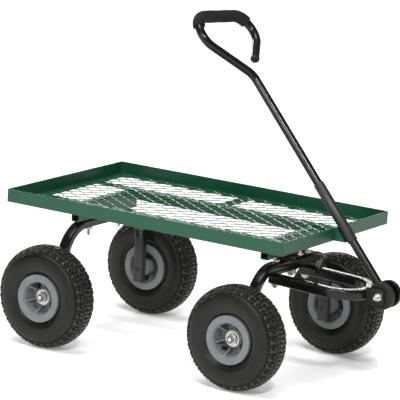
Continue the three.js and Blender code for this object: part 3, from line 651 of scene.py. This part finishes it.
def handleRoutes():
    # The whole tube, and the stretch that the grip covers, from the same moves.
    h, g = handleShape, gripShape
    neckTangent = h["neckRadius"] * math.tan(math.radians(h["neckAngle"]) / 2)
    before = [
        (h["tail"] + h["shaft"] - neckTangent,), (h["neckRadius"], h["neckAngle"]),
        (h["loopLeg"],), (h["loopRadius"], g["first"] - h["firstCorner"]),
    ]
    gripped = [(h["loopRadius"], -g["first"]), (h["gripBar"],), (h["loopRadius"], -g["second"])]
    after = [(h["loopRadius"], g["second"] - h["secondCorner"]), (h["loopEnd"],)]
    whole = walk((0.0, -h["tail"]), 90, before + gripped + after)
    lead = walk((0.0, -h["tail"]), 90, before)
    grip = walk(lead[0][-1], math.degrees(lead[1][-1]), gripped)
    return whole, grip


def buildTubeAndSleeve(whole):
    # One round section along the whole route, and over the shaft a thin sleeve turned in at its ends.
    h = handleShape
    shell = tube(whole, roundPoints(32, h["tube"] / 2), h["wall"], pivot, axisY, shaftUp)
    addPiece("handleTube", [shell], "handle", "black", ["handle_tube"], 40)
    r, inner = h["sleeve"] / 2, h["tube"] / 2 + h["sleeveGap"]
    low, high = h["sleeveStart"], h["sleeveStart"] + h["sleeveLength"]
    ends = h["sleeveEnd"]
    profile = [
        (inner, low), (r - ends, low), (r - ends * 0.3, low + ends * 0.3), (r, low + ends),
        (r, high - ends), (r - ends * 0.3, high - ends * 0.3), (r - ends, high), (inner, high),
    ]
    sleeve = turned(profile, pivot, shaftUp, 64, closed=True)
    addPiece("handleSleeve", [sleeve], "handle", "satin", ["handle_sleeve"], 40)


def buildGrip(grip):
    # The radius falls off in a quarter round at both ends, sqrt(1 - (1 - edge)^2), and swells a little
    # between them in slow waves.
    h, g = handleShape, gripShape
    places, along = grip[0], runLengths(grip[0])
    total = along[-1]
    fine = np.concatenate([
        np.linspace(0, g["roundEnd"], 8), np.linspace(g["roundEnd"], total - g["roundEnd"], 130)[1:-1],
        np.linspace(total - g["roundEnd"], total, 8),
    ])
    smoothPlaces = np.stack([np.interp(fine, along, places[:, k]) for k in range(2)], axis=-1)
    smoothHeading = np.interp(fine, along, grip[1])
    edge = np.minimum(fine, total - fine) / g["roundEnd"]
    fall = np.sqrt(np.clip(1 - (1 - np.clip(edge, 0, 1)) ** 2, 0, 1))
    base = h["tube"] / 2 + g["gap"]
    radius = base + (g["diameter"] / 2 - base) * (g["endShare"] + (1 - g["endShare"]) * fall)
    radius = radius + g["swell"] * np.sin(math.pi * fine / total) * np.sin(fine * g["swellWaves"])
    circle, route = roundPoints(48), (smoothPlaces, smoothHeading)
    section = circle[None] * radius[:, None, None]
    shell = hollow(route, section, circle * base, pivot, axisY, shaftUp)
    foam = addPiece("foamGrip", [shell], "handle", "foam", ["foam_grip"], 50)


def buildCap(whole):
    # A lip with a cut corner, then a dome: radius * cos, height * sin over a quarter turn.
    c = capShape
    end, heading = whole[0][-1], whole[1][-1]
    place = pivot + end[0] * axisY + end[1] * shaftUp
    outwards = math.cos(heading) * axisY + math.sin(heading) * shaftUp
    r, inset = c["diameter"] / 2, c["diameter"] / 2 - c["lipStep"]
    dome = np.linspace(0, math.pi / 2 - 0.12, 9)
    profile = [(r - c["lip"], 0.0002), (r, c["lipStep"]), (r, c["lip"] * 2), (inset, c["lip"] * 2.4)]
    heights = c["lip"] * 3 + (c["length"] - c["lip"] * 3) * np.sin(dome)
    profile += list(zip(inset * np.cos(dome), heights))
    cap = turned(profile, place, outwards, 40)
    addPiece("handleCap", [cap], "handle", "moulding", ["handle_end_cap"], 40)


wholeRoute, gripRoute = handleRoutes()
buildTubeAndSleeve(wholeRoute)
buildGrip(gripRoute)
buildCap(wholeRoute)
print("handle bent")


# Pivot discs.
discRings = {"recess": 0.0025, "groove": 0.0011, "edge": 0.0012, "bossDrop": 0.0004}


def buildDisc(side, finish):
    # Turned the same on both faces: a raised outer ring, a shallow dish with one groove, a raised boss.
    low, high = boxOf(side + "_disc")
    radius = (high[2] - low[2]) / 2
    thickness = high[1] - low[1]
    half, edge = thickness / 2, discRings["edge"]
    dish, boss = half - discRings["recess"], half - discRings["bossDrop"]
    groove = dish - discRings["groove"]
    face = [
        (radius, half - edge), (radius - edge * 0.3, half - edge * 0.3), (radius - edge, half),
        (radius * 0.8, half), (radius * 0.77, dish), (radius * 0.62, dish),
        (radius * 0.6, groove), (radius * 0.57, groove), (radius * 0.55, dish),
        (radius * 0.42, dish), (radius * 0.4, boss), (radius * 0.19, boss),
    ]
    profile = face + [(r, -h) for r, h in reversed(face)]
    centre = pivot + middleOf(side + "_disc")[1] * axisY
    shell = turned(profile, centre, axisY, 72, closed=True)
    addPiece(side + "Disc", [shell], "handle", finish, [side + "_disc"])


buildDisc("left", "black")
# the right disc is a lit copy of the left disc's black, with the painted sheen
buildDisc("right", "olive")
print("pivot discs turned")


# Wheels.
tyreShape = {
    "outline": [
        (0.0631, 0.0318), (0.0638, 0.0338), (0.0652, 0.0354), (0.068, 0.0368), (0.0735, 0.0392),
        (0.08, 0.0411), (0.0865, 0.0419), (0.093, 0.042), (0.1, 0.0413), (0.107, 0.0398),
        (0.114, 0.0376), (0.1212, 0.0344), (0.127, 0.0304), (0.131, 0.0225), (0.1334, 0.0118),
        (0.134, 0.0),
    ],
    "wallSamples": 22, "treadSamples": 42, "treadZone": 0.047, "treadReach": 0.0445, "treadFade": 0.0022,
    "pitches": 36, "perPitch": 20, "depth": 0.0042, "softness": 0.0006,
    "blockHalf": 0.215, "betweenHalf": 0.185, "betweenSkew": 0.6, "crown": 0.14,
    "wallRings": (0.079, 0.106, 0.112), "ringHeight": 0.001, "ringWidth": 0.001, "ringsPast": 0.03,
    "seatGap": 0.0003, "seatHalf": 0.026,
}
blockRows = [  # (from the middle, to, where in the pitch, skew)
    (-0.001, 0.008, 0.1, 0.3), (0.0099, 0.018, 0.33, -0.28), (0.0199, 0.0278, 0.02, 0.22),
]
shoulderLugs = [  # (where in the pitch, half its length, from the middle, half its width, height)
    (0.2, 0.0072, 0.0355, 0.0082, 1.15), (0.68, 0.0042, 0.035, 0.006, 0.8),
    (0.44, 0.0026, 0.04, 0.0042, 0.55),
]


def smoothCurve(points, shares):
    # Catmull-Rom through the points, sampled at shares of its arc length.
    p = np.array(points, float)
    padded = np.concatenate([2 * p[:1] - p[1:2], p, 2 * p[-1:] - p[-2:-1]])
    t = np.linspace(0, 1, 13)[:-1, None]
    a, b, c, d = (padded[k : k + len(p) - 1, None, :] for k in range(4))
    bent, twisted = 2 * a - 5 * b + 4 * c - d, 3 * b - a - 3 * c + d
    dense = 0.5 * (2 * b + (c - a) * t + bent * t**2 + twisted * t**3)
    dense = np.concatenate([dense.reshape(-1, 2), p[-1:]])
    length = runLengths(dense)
    spots = shares(length[-1])
    return np.stack([np.interp(spots, length, dense[:, k]) for k in range(2)], axis=-1)


def step(x, width):
    # 0 below -width, 1 above width, t^2 (3 - 2t) between
    t = np.clip(x / width * 0.5 + 0.5, 0, 1)
    return t * t * (3 - 2 * t)


def treadHeight(angle, across):
    # 1 on a block, 0 in a groove: rows of small skewed blocks, and rounded lugs along each shoulder.
    t = tyreShape
    pitchLength = 2 * math.pi * t["outline"][-1][0] / t["pitches"]
    soft = t["softness"]
    a = np.abs(across)
    turnOver = 0.5 * (across > 0)

    def away(centre):
        phase = angle * t["pitches"] / (2 * math.pi) - centre - turnOver
        return np.abs(phase - np.round(phase)) * pitchLength

    def block(centre, half, low, high, skew):
        off = away(centre + skew * (a - low) / (high - low))
        crown = 1 - t["crown"] * np.clip(off / (half * pitchLength), 0, 1) ** 2
        return crown * step(half * pitchLength - off, soft) * step(a - low, soft) * step(high - a, soft)

    def lug(centre, along, middle, wide, tall):
        # half an ellipsoid: sqrt(1 - u^2 - v^2)
        fall = (away(centre) / along) ** 2 + ((a - middle) / wide) ** 2
        return tall * np.sqrt(np.clip(1 - fall, 0, 1))

    parts = []
    for low, high, centre, skew in blockRows:
        parts.append(block(centre, t["blockHalf"], low, high, skew))
        parts.append(block(centre + 0.5, t["betweenHalf"], low, high, skew * t["betweenSkew"]))
    parts += [lug(*sizes) for sizes in shoulderLugs]
    return np.max(np.stack(np.broadcast_arrays(*parts)), axis=0)


def tyreShell(centre, sign):
    # The outline is mirrored and revolved. Each point moves along its normal: down by the tread's depth
    # where treadHeight is 0, and up by exp(-(distance / width)^2) at the wall's moulded rings.
    t = tyreShape

    def spots(total):
        wall = np.linspace(0, total - t["treadZone"], t["wallSamples"] + 1)[:-1]
        return np.concatenate([wall, np.linspace(total - t["treadZone"], total, t["treadSamples"])])

    half = smoothCurve(t["outline"], spots)
    profile = np.concatenate([half, half[-2::-1] * [1, -1]])
    middle = len(half) - 1
    length = runLengths(profile)
    across = length[middle] - length
    tangent = np.gradient(profile, axis=0)
    normal = np.stack([-tangent[:, 1], tangent[:, 0]], axis=-1)
    normal /= np.linalg.norm(normal, axis=1)[:, None]
    normal *= np.sign(normal[middle, 0])
    count = t["pitches"] * t["perPitch"]
    angle = (np.arange(count) * (2 * math.pi / count))[:, None]
    band = step(t["treadReach"] - np.abs(across), t["treadFade"])[None, :]
    raised = treadHeight(angle, across[None, :])
    sink = -t["depth"] * band * (1 - raised)
    rings = sum(np.exp(-(((profile[:, 0] - r) / t["ringWidth"]) ** 2)) for r in t["wallRings"])
    offset = sink + (t["ringHeight"] * rings * (np.abs(profile[:, 1]) > t["ringsPast"]))[None, :]
    # three more columns close the inner side, against the rim
    seat = np.full((count, 3), t["outline"][0][0] - t["seatGap"])
    side = np.tile([-t["seatHalf"], 0.0, t["seatHalf"]], (count, 1))
    r = np.concatenate([profile[:, 0] + offset * normal[:, 0], seat], axis=1)
    y = np.concatenate([profile[:, 1] + offset * normal[:, 1], side], axis=1)
    points = np.stack([r * np.cos(angle), y, r * np.sin(angle)], axis=-1)
    top = np.concatenate([band * np.clip(raised, 0, 1) + (1 - band) * 0.5, seat * 0], axis=1)
    return gridShell(np.array(centre) + points * [1, sign, 1], closed=True), top.ravel()


rimShape = {
    "outer": 0.0622, "ring": 0.0176, "face": 0.0413, "hub": 0.024, "innerHub": 0.021, "recess": 0.0265,
    "web": 0.006, "bore": 0.0086, "innerEnd": 0.0515, "fillet": 0.0014, "rib": 0.0042, "ribs": 6,
    "lipWidth": 0.0022, "lipDepth": 0.003, "draft": 0.003, "flare": 0.001,
    "ribDrop": 0.001, "ribEndDrop": 0.0015, "ribSunk": 0.002, "ribFoot": 1.25, "ribEdge": 0.8,
}
valveDirections = {"rear_left": 200.0, "rear_right": 110.0, "front_left": 310.0, "front_right": 228.0}


def filleted(corners, radius, steps=4):
    # Rounds each corner of a closed outline with a short curve: a quadratic from one side to the other.
    p = np.array(corners, float)
    before, after = np.roll(p, 1, axis=0) - p, np.roll(p, -1, axis=0) - p
    back, on = np.linalg.norm(before, axis=1), np.linalg.norm(after, axis=1)
    cut = np.minimum(radius, 0.45 * np.minimum(back, on))
    start = p + before / back[:, None] * cut[:, None]
    end = p + after / on[:, None] * cut[:, None]
    t = np.linspace(0, 1, steps + 1)[None, :, None]
    curve = (1 - t) ** 2 * start[:, None] + 2 * t * (1 - t) * p[:, None] + t**2 * end[:, None]
    return curve.reshape(-1, 2)


def rimShells(centre, sign, direction):
    # A closed profile is revolved: hub, web and broad flat ring, with a stepped lip round the pockets. Thin
    # ribs, wider at the foot, run from hub to ring on both sides of the web.
    q = rimShape
    face, web, pocket = q["face"], q["web"], q["outer"] - q["ring"]
    hubFace, flare, sunk = face - q["recess"], q["flare"], q["ribSunk"]
    wall, lip = pocket - q["lipWidth"], face - q["lipDepth"]
    outerHub = [(q["hub"] + flare, web), (q["hub"], hubFace)]
    bore = [(q["bore"], hubFace), (q["bore"], -q["innerEnd"])]
    innerHub = [(q["innerHub"], -q["innerEnd"]), (q["innerHub"] + flare, -web)]
    ring = [(wall - q["draft"], web), (wall, lip), (pocket, lip), (pocket, face), (q["outer"], face)]
    profile = bore + innerHub + [(r, -h) for r, h in ring] + ring[::-1] + outerHub
    axis = sign * axisY
    shells = [turned(filleted(profile, q["fillet"]), centre, axis, 120, closed=True)]
    ribTop, ribEnd, ribFoot = hubFace - q["ribDrop"], face - q["ribEndDrop"], web - q["ribDrop"]
    foot, edge = q["rib"] / 2 * q["ribFoot"], q["rib"] / 2 * q["ribEdge"]
    root = np.array([foot, foot, edge, edge])[:, None]
    for number in range(q["ribs"]):
        turn = math.radians(direction + (number + 0.5) * 360 / q["ribs"])
        spoke = math.cos(turn) * axisX + math.sin(turn) * axisZ
        across = np.cross(axis, spoke)
        for way, hub in ((1, q["hub"]), (-1, q["innerHub"])):
            near, far = hub - sunk, pocket + sunk / 4
            outline = np.array([(near, ribFoot), (far, ribFoot), (far, ribEnd), (near, ribTop)])
            spots = centre + outline[:, :1] * spoke + way * outline[:, 1:] * axis
            points = np.stack([spots - root * across, spots + root * across])
            shells.append(gridShell(points))
    return shells


valveShape = {
    "sunk": 0.0022, "outwards": 0.014, "tilt": 52,
    "collar": [(0.0058, 0), (0.006, 0.0008), (0.0052, 0.003), (0.0042, 0.0036)],
    "stem": [
        (0.0042, -0.001), (0.0038, 0.006), (0.0032, 0.0085), (0.0032, 0.0095), (0.0042, 0.0098),
        (0.0042, 0.0125), (0.0036, 0.0128), (0.0036, 0.0133), (0.0042, 0.0136), (0.0042, 0.018),
        (0.0034, 0.019),
    ],
}


def buildValve(name, centre, sign, direction):
    # A rubber collar, and a tapering stem with its ribbed cap, leaning outwards.
    v = valveShape
    turn, tilt = math.radians(direction), math.radians(v["tilt"])
    spoke = math.cos(turn) * axisX + math.sin(turn) * axisZ
    wall = rimShape["outer"] - rimShape["ring"] - rimShape["lipWidth"]
    root = centre + spoke * (wall - v["sunk"]) + sign * v["outwards"] * axisY
    stem = -spoke * math.sin(tilt) + sign * axisY * math.cos(tilt)
    shells = [turned(v["collar"], root, -spoke, 24), turned(v["stem"], root, stem, 24)]
    addPiece(name + "Valve", shells, name + "_wheel", "moulding", [name + "_valve"])


def buildWheel(name):
    sign = 1 if name.endswith("left") else -1
    centre = wheelCentres[name]
    body = name + "_wheel"
    direction = valveDirections[name]
    shell, raised = tyreShell(centre, sign)
    tyre = addPiece(name + "Tyre", [shell], body, "rubber", [name + "_tyre"], 60)
    raisedValues = tyre.data.attributes.new("raised", "FLOAT", "POINT")
    raisedValues.data.foreach_set("value", raised.astype(np.float32))
    rim = rimShells(centre, sign, direction)
    addPiece(name + "Rim", rim, body, "rim", [name + "_rim"], 28)
    buildValve(name, centre, sign, direction)


for name in wheelNames:
    buildWheel(name)
print("wheels built")


# Axles.
axleShape = {
    "diameter": 0.016, "nut": 0.024, "washer": 0.041, "washerThickness": 0.0025,
    "flange": 0.015, "flangeTop": 0.014, "flangeThickness": 0.0022, "hexBelow": 0.0035, "gap": 0.0003,
    "collar": 0.0102, "insert": 0.0086, "tip": 0.006, "tipPast": 0.002, "tipLength": 0.004,
}


def buildAxle(name):
    # A black stub, a shank with a narrow tip, and a washer under a flanged lock nut, whose round collar
    # holds a dark insert.
    a = axleShape
    sign = 1 if name.endswith("left") else -1
    body = "chassis" if name.startswith("rear") else "front_axle"
    axle, nut = boxOf(name + "_axle"), boxOf(name + "_axle_nut")
    centre = wheelCentres[name] * [1, 0, 1]
    axis = sign * axisY
    near = min(abs(edge[1]) for edge in axle)
    start, end = sorted(abs(edge[1]) for edge in nut)
    r, shoulder, gap = a["diameter"] / 2, end - a["tipLength"], a["gap"]
    stub = [
        (0.005, near), (0.0057, near + 0.0008), (r - 0.001, near + 0.0009), (r - 0.0002, near + 0.004),
    ]
    addPiece(name + "Stub", [turned(stub, centre, axis, 40)], body, "black", [])
    tip, tipEnd = a["tip"], end + a["tipPast"]
    rod = turned([
        (r - 0.0006, near + 0.0045), (r, near + 0.0051), (r, shoulder), (tip, shoulder + 0.0008),
        (tip, tipEnd - 0.0008), (tip - 0.0009, tipEnd),
    ], centre, axis, 40)
    addPiece(name + "Axle", [rod], body, "zinc", [name + "_axle"])
    seatEnd = start + a["washerThickness"]
    inner, hexEnd = r + gap, end - a["hexBelow"]
    flangeEnd = seatEnd + a["flangeThickness"]
    flange = [(inner, seatEnd), (a["flange"], seatEnd), (a["flangeTop"], flangeEnd), (inner, flangeEnd)]
    outside, hole = a["collar"], a["insert"]
    collar = [
        (inner, hexEnd - 0.001), (outside + 0.0006, hexEnd - 0.001), (outside, end - 0.0012),
        (outside - 0.0008, end), (hole, end), (hole, end - 0.002), (inner, end - 0.002),
    ]
    shells = [
        washer(centre, axis, inner, a["washer"] / 2, start, seatEnd, 0.0006),
        turned(flange, centre, axis, closed=True),
        hexNut(centre, axis, a["nut"], seatEnd + 0.002, hexEnd),
        turned(collar, centre, axis, closed=True),
    ]
    addPiece(name + "Nut", shells, body, "zinc", [name + "_axle_nut"])
    insert = [
        (tip + gap, end - 0.003), (hole - 0.0002, end - 0.003), (hole - 0.0002, end - 0.0006),
        (hole - 0.001, end), (tip + gap, end - 0.0004),
    ]
    ring = turned(insert, centre, axis, closed=True)
    addPiece(name + "Insert", [ring], body, "moulding", [])


for name in wheelNames:
    buildAxle(name)


# Bolts.
boltShape = {
    "diameter": 0.008, "across": 0.0165, "head": 0.0055, "threadLength": 0.022, "nutTo": 0.0075,
    "washer": 0.0015, "washerHole": 0.0043, "washerPastNut": 1.28, "archGap": 0.0003, "tongueGrip": 0.0575,
}
kingpinShape = {
    "threadLength": 0.016, "pitch": 0.0015, "nut": 0.024, "washer": 0.0025, "hole": 0.0083, "rim": 0.015,
}
pivotBoltShape = {"diameter": 0.012, "across": 0.019, "pitch": 0.0015}
headOverlap = 0.001  # how far a shank runs on into its head


def buildBolt(node, body, nutUnder=None):
    # Head at the top, nut and washer against nutUnder where there is one.
    b = boltShape
    low, high = boxOf(node)
    centre = middleOf(node) * [1, 1, 0]
    headLow, down = high[2] - b["head"], -axisZ
    start, threadFrom = -headLow - headOverlap, -low[2] - b["threadLength"]
    shells = [
        hexNut(centre, axisZ, b["across"], headLow, high[2]),
        threadedRod(centre, down, b["diameter"], start, -low[2], threadFrom),
    ]
    if nutUnder is not None:
        washerEnd, rim = b["washer"] - nutUnder, b["across"] / 2 * b["washerPastNut"]
        shells.append(washer(centre, down, b["washerHole"], rim, -nutUnder, washerEnd, 0.0003))
        shells.append(hexNut(centre, down, b["across"], washerEnd, b["nutTo"] - nutUnder))
    addPiece(node + "_made", shells, body, "zinc", [node])


archUnder = boxOf("rear_arch")[1][2] - archTube["depth"] - boltShape["archGap"]
for side in ("left", "right"):
    buildBolt("rear_arch_bolt_" + side, "chassis", archUnder)
    tongueUnder = boxOf("tongue_bolt_" + side)[1][2] - boltShape["head"] - boltShape["tongueGrip"]
    buildBolt("tongue_bolt_" + side, "front_axle", tongueUnder)
    for end in ("front", "rear"):
        buildBolt("swivel_bolt_" + end + "_" + side, "chassis")


def buildKingpin():
    # A threaded rod pointing down, and a nut over its washer.
    k = kingpinShape
    low, high = boxOf("kingpin")
    centre, down = middleOf("kingpin") * [1, 1, 0], -axisZ
    threadFrom = -low[2] - k["threadLength"]
    rod = threadedRod(centre, down, high[0] - low[0], -high[2], -low[2], threadFrom, k["pitch"])
    addPiece("kingpinRod", [rod], "chassis", "zinc", ["kingpin"])
    low, high = boxOf("kingpin_nut")
    washerEnd = k["washer"] - high[2]
    shells = [
        hexNut(centre, down, k["nut"], washerEnd, -low[2]),
        washer(centre, down, k["hole"], k["rim"], -high[2], washerEnd),
    ]
    addPiece("kingpinNut", shells, "chassis", "zinc", ["kingpin_nut"])


def buildPivotBolt():
    # A bolt across the tongue's nose, its head on the left, and its nut on the right.
    p = pivotBoltShape
    low, high = boxOf("pivot_bolt")
    nutLow, nutHigh = boxOf("pivot_nut")
    head, centre, across = nutHigh[1] - nutLow[1], pivot * [1, 0, 1], p["across"]
    start = head - high[1] - headOverlap
    shells = [
        hexNut(centre, axisY, across, high[1] - head, high[1]),
        threadedRod(centre, -axisY, p["diameter"], start, -low[1], -nutHigh[1], p["pitch"]),
    ]
    addPiece("pivotBolt", shells, "front_axle", "zinc", ["pivot_bolt"])
    nut = hexNut(centre, -axisY, across, -nutHigh[1], -nutLow[1])
    addPiece("pivotNut", [nut], "front_axle", "zinc", ["pivot_nut"])


buildKingpin()
buildPivotBolt()
print("axles and bolts fitted")


# Floor, light and camera.
studio = {
    "floorShade": (0.93, 0.93, 0.93), "floorMottle": 0.985, "floorGlow": 0.2, "floorSize": 30.0,
    "world": (1.0, 1.0, 1.0), "worldStrength": 0.22, "aim": (0.0, 0.0, 0.35), "lampDistance": 5.0,
}
lamps = {  # name: (direction from the cart, width, height, power)
    "side": ((0.06, -0.93, 0.37), 0.9, 0.9, 80.0),
    "glint": ((0.51, -0.52, 0.65), 0.45, 0.45, 120.0),
    "back": ((-0.89, 0.3, 0.34), 1.6, 0.7, 70.0),
    "low": ((-0.52, 0.83, 0.21), 1.6, 0.25, 22.0),
}
sun = {"direction": (-0.1, -0.2, 1.0), "strength": 2.4, "angle": 40.0}


def addLight(light, direction, place=(0.0, 0.0, 0.0)):
    # A light points back along its direction and isn't seen itself.
    holder = bpy.data.objects.new(light.name, light)
    holder.location = place
    holder.rotation_euler = direction.to_track_quat("Z", "Y").to_euler()
    holder.visible_camera = False
    scene.collection.objects.link(holder)


def buildFloor():
    size = studio["floorSize"] / 2
    corners = [(-size, -size, 0), (size, -size, 0), (size, size, 0), (-size, size, 0)]
    mesh = bpy.data.meshes.new("floor")
    mesh.from_pydata(corners, [], [(0, 1, 2, 3)])
    floor = bpy.data.objects.new("floor", mesh)
    scene.collection.objects.link(floor)
    s = Shader("floor")
    mottle = s.noise(3.0, 3.0)
    darker = tuple(studio["floorMottle"] * c for c in studio["floorShade"])
    pale = s.mixed(mottle, studio["floorShade"], darker)
    glow = {"Emission_Color": (1.0, 1.0, 1.0), "Emission_Strength": studio["floorGlow"]}
    mesh.materials.append(s.finish(pale, 0.9, Specular_IOR_Level=0.1, **glow))


def buildLights():
    world = bpy.data.worlds.new("studio")
    scene.world = world
    world.use_nodes = True
    background = world.node_tree.nodes["Background"]
    background.inputs["Color"].default_value = (*studio["world"], 1.0)
    background.inputs["Strength"].default_value = studio["worldStrength"]
    for name, (direction, width, height, power) in lamps.items():
        lamp = bpy.data.lights.new(name, "AREA")
        lamp.energy = power
        lamp.shape = "RECTANGLE"
        lamp.size = width
        lamp.size_y = height
        away = Vector(direction).normalized()
        addLight(lamp, away, Vector(studio["aim"]) + away * studio["lampDistance"])
    lamp = bpy.data.lights.new("overhead", "SUN")
    lamp.energy = sun["strength"]
    lamp.angle = math.radians(sun["angle"])
    addLight(lamp, Vector(sun["direction"]))


cameraShape = {
    "azimuth": 32.13, "elevation": 12.17, "roll": 3.37, "distance": 7.86169, "lens": 275.4,
    "aimAhead": 0.006, "aimAbove": 0.0006,
}


def buildCamera():
    # A long lens aimed near the middle of the deck, from the cart's right and ahead, a little rolled.
    c = cameraShape
    azimuth, elevation, roll = (math.radians(c[key]) for key in ("azimuth", "elevation", "roll"))
    level = math.cos(elevation)
    back = Vector((math.sin(azimuth) * level, -math.cos(azimuth) * level, math.sin(elevation)))
    right = Vector((math.cos(azimuth), math.sin(azimuth), 0.0))
    up = back.cross(right)
    across = right * math.cos(roll) + up * math.sin(roll)
    upward = up * math.cos(roll) - right * math.sin(roll)
    deckMiddle = (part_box("front_rail")[1][0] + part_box("rear_rail")[0][0]) / 2
    aim = Vector((deckMiddle + c["aimAhead"], 0.0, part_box("left_rail")[1][2] + c["aimAbove"]))
    data = bpy.data.cameras.new("camera")
    data.lens = c["lens"]
    camera = bpy.data.objects.new("camera", data)
    turn = Matrix((across, upward, back)).transposed()
    camera.matrix_world = Matrix.Translation(aim + back * c["distance"]) @ turn.to_4x4()
    scene.collection.objects.link(camera)
    scene.camera = camera


buildFloor()
buildLights()
buildCamera()
scene.view_settings.view_transform = "Standard"
print("studio and camera set")
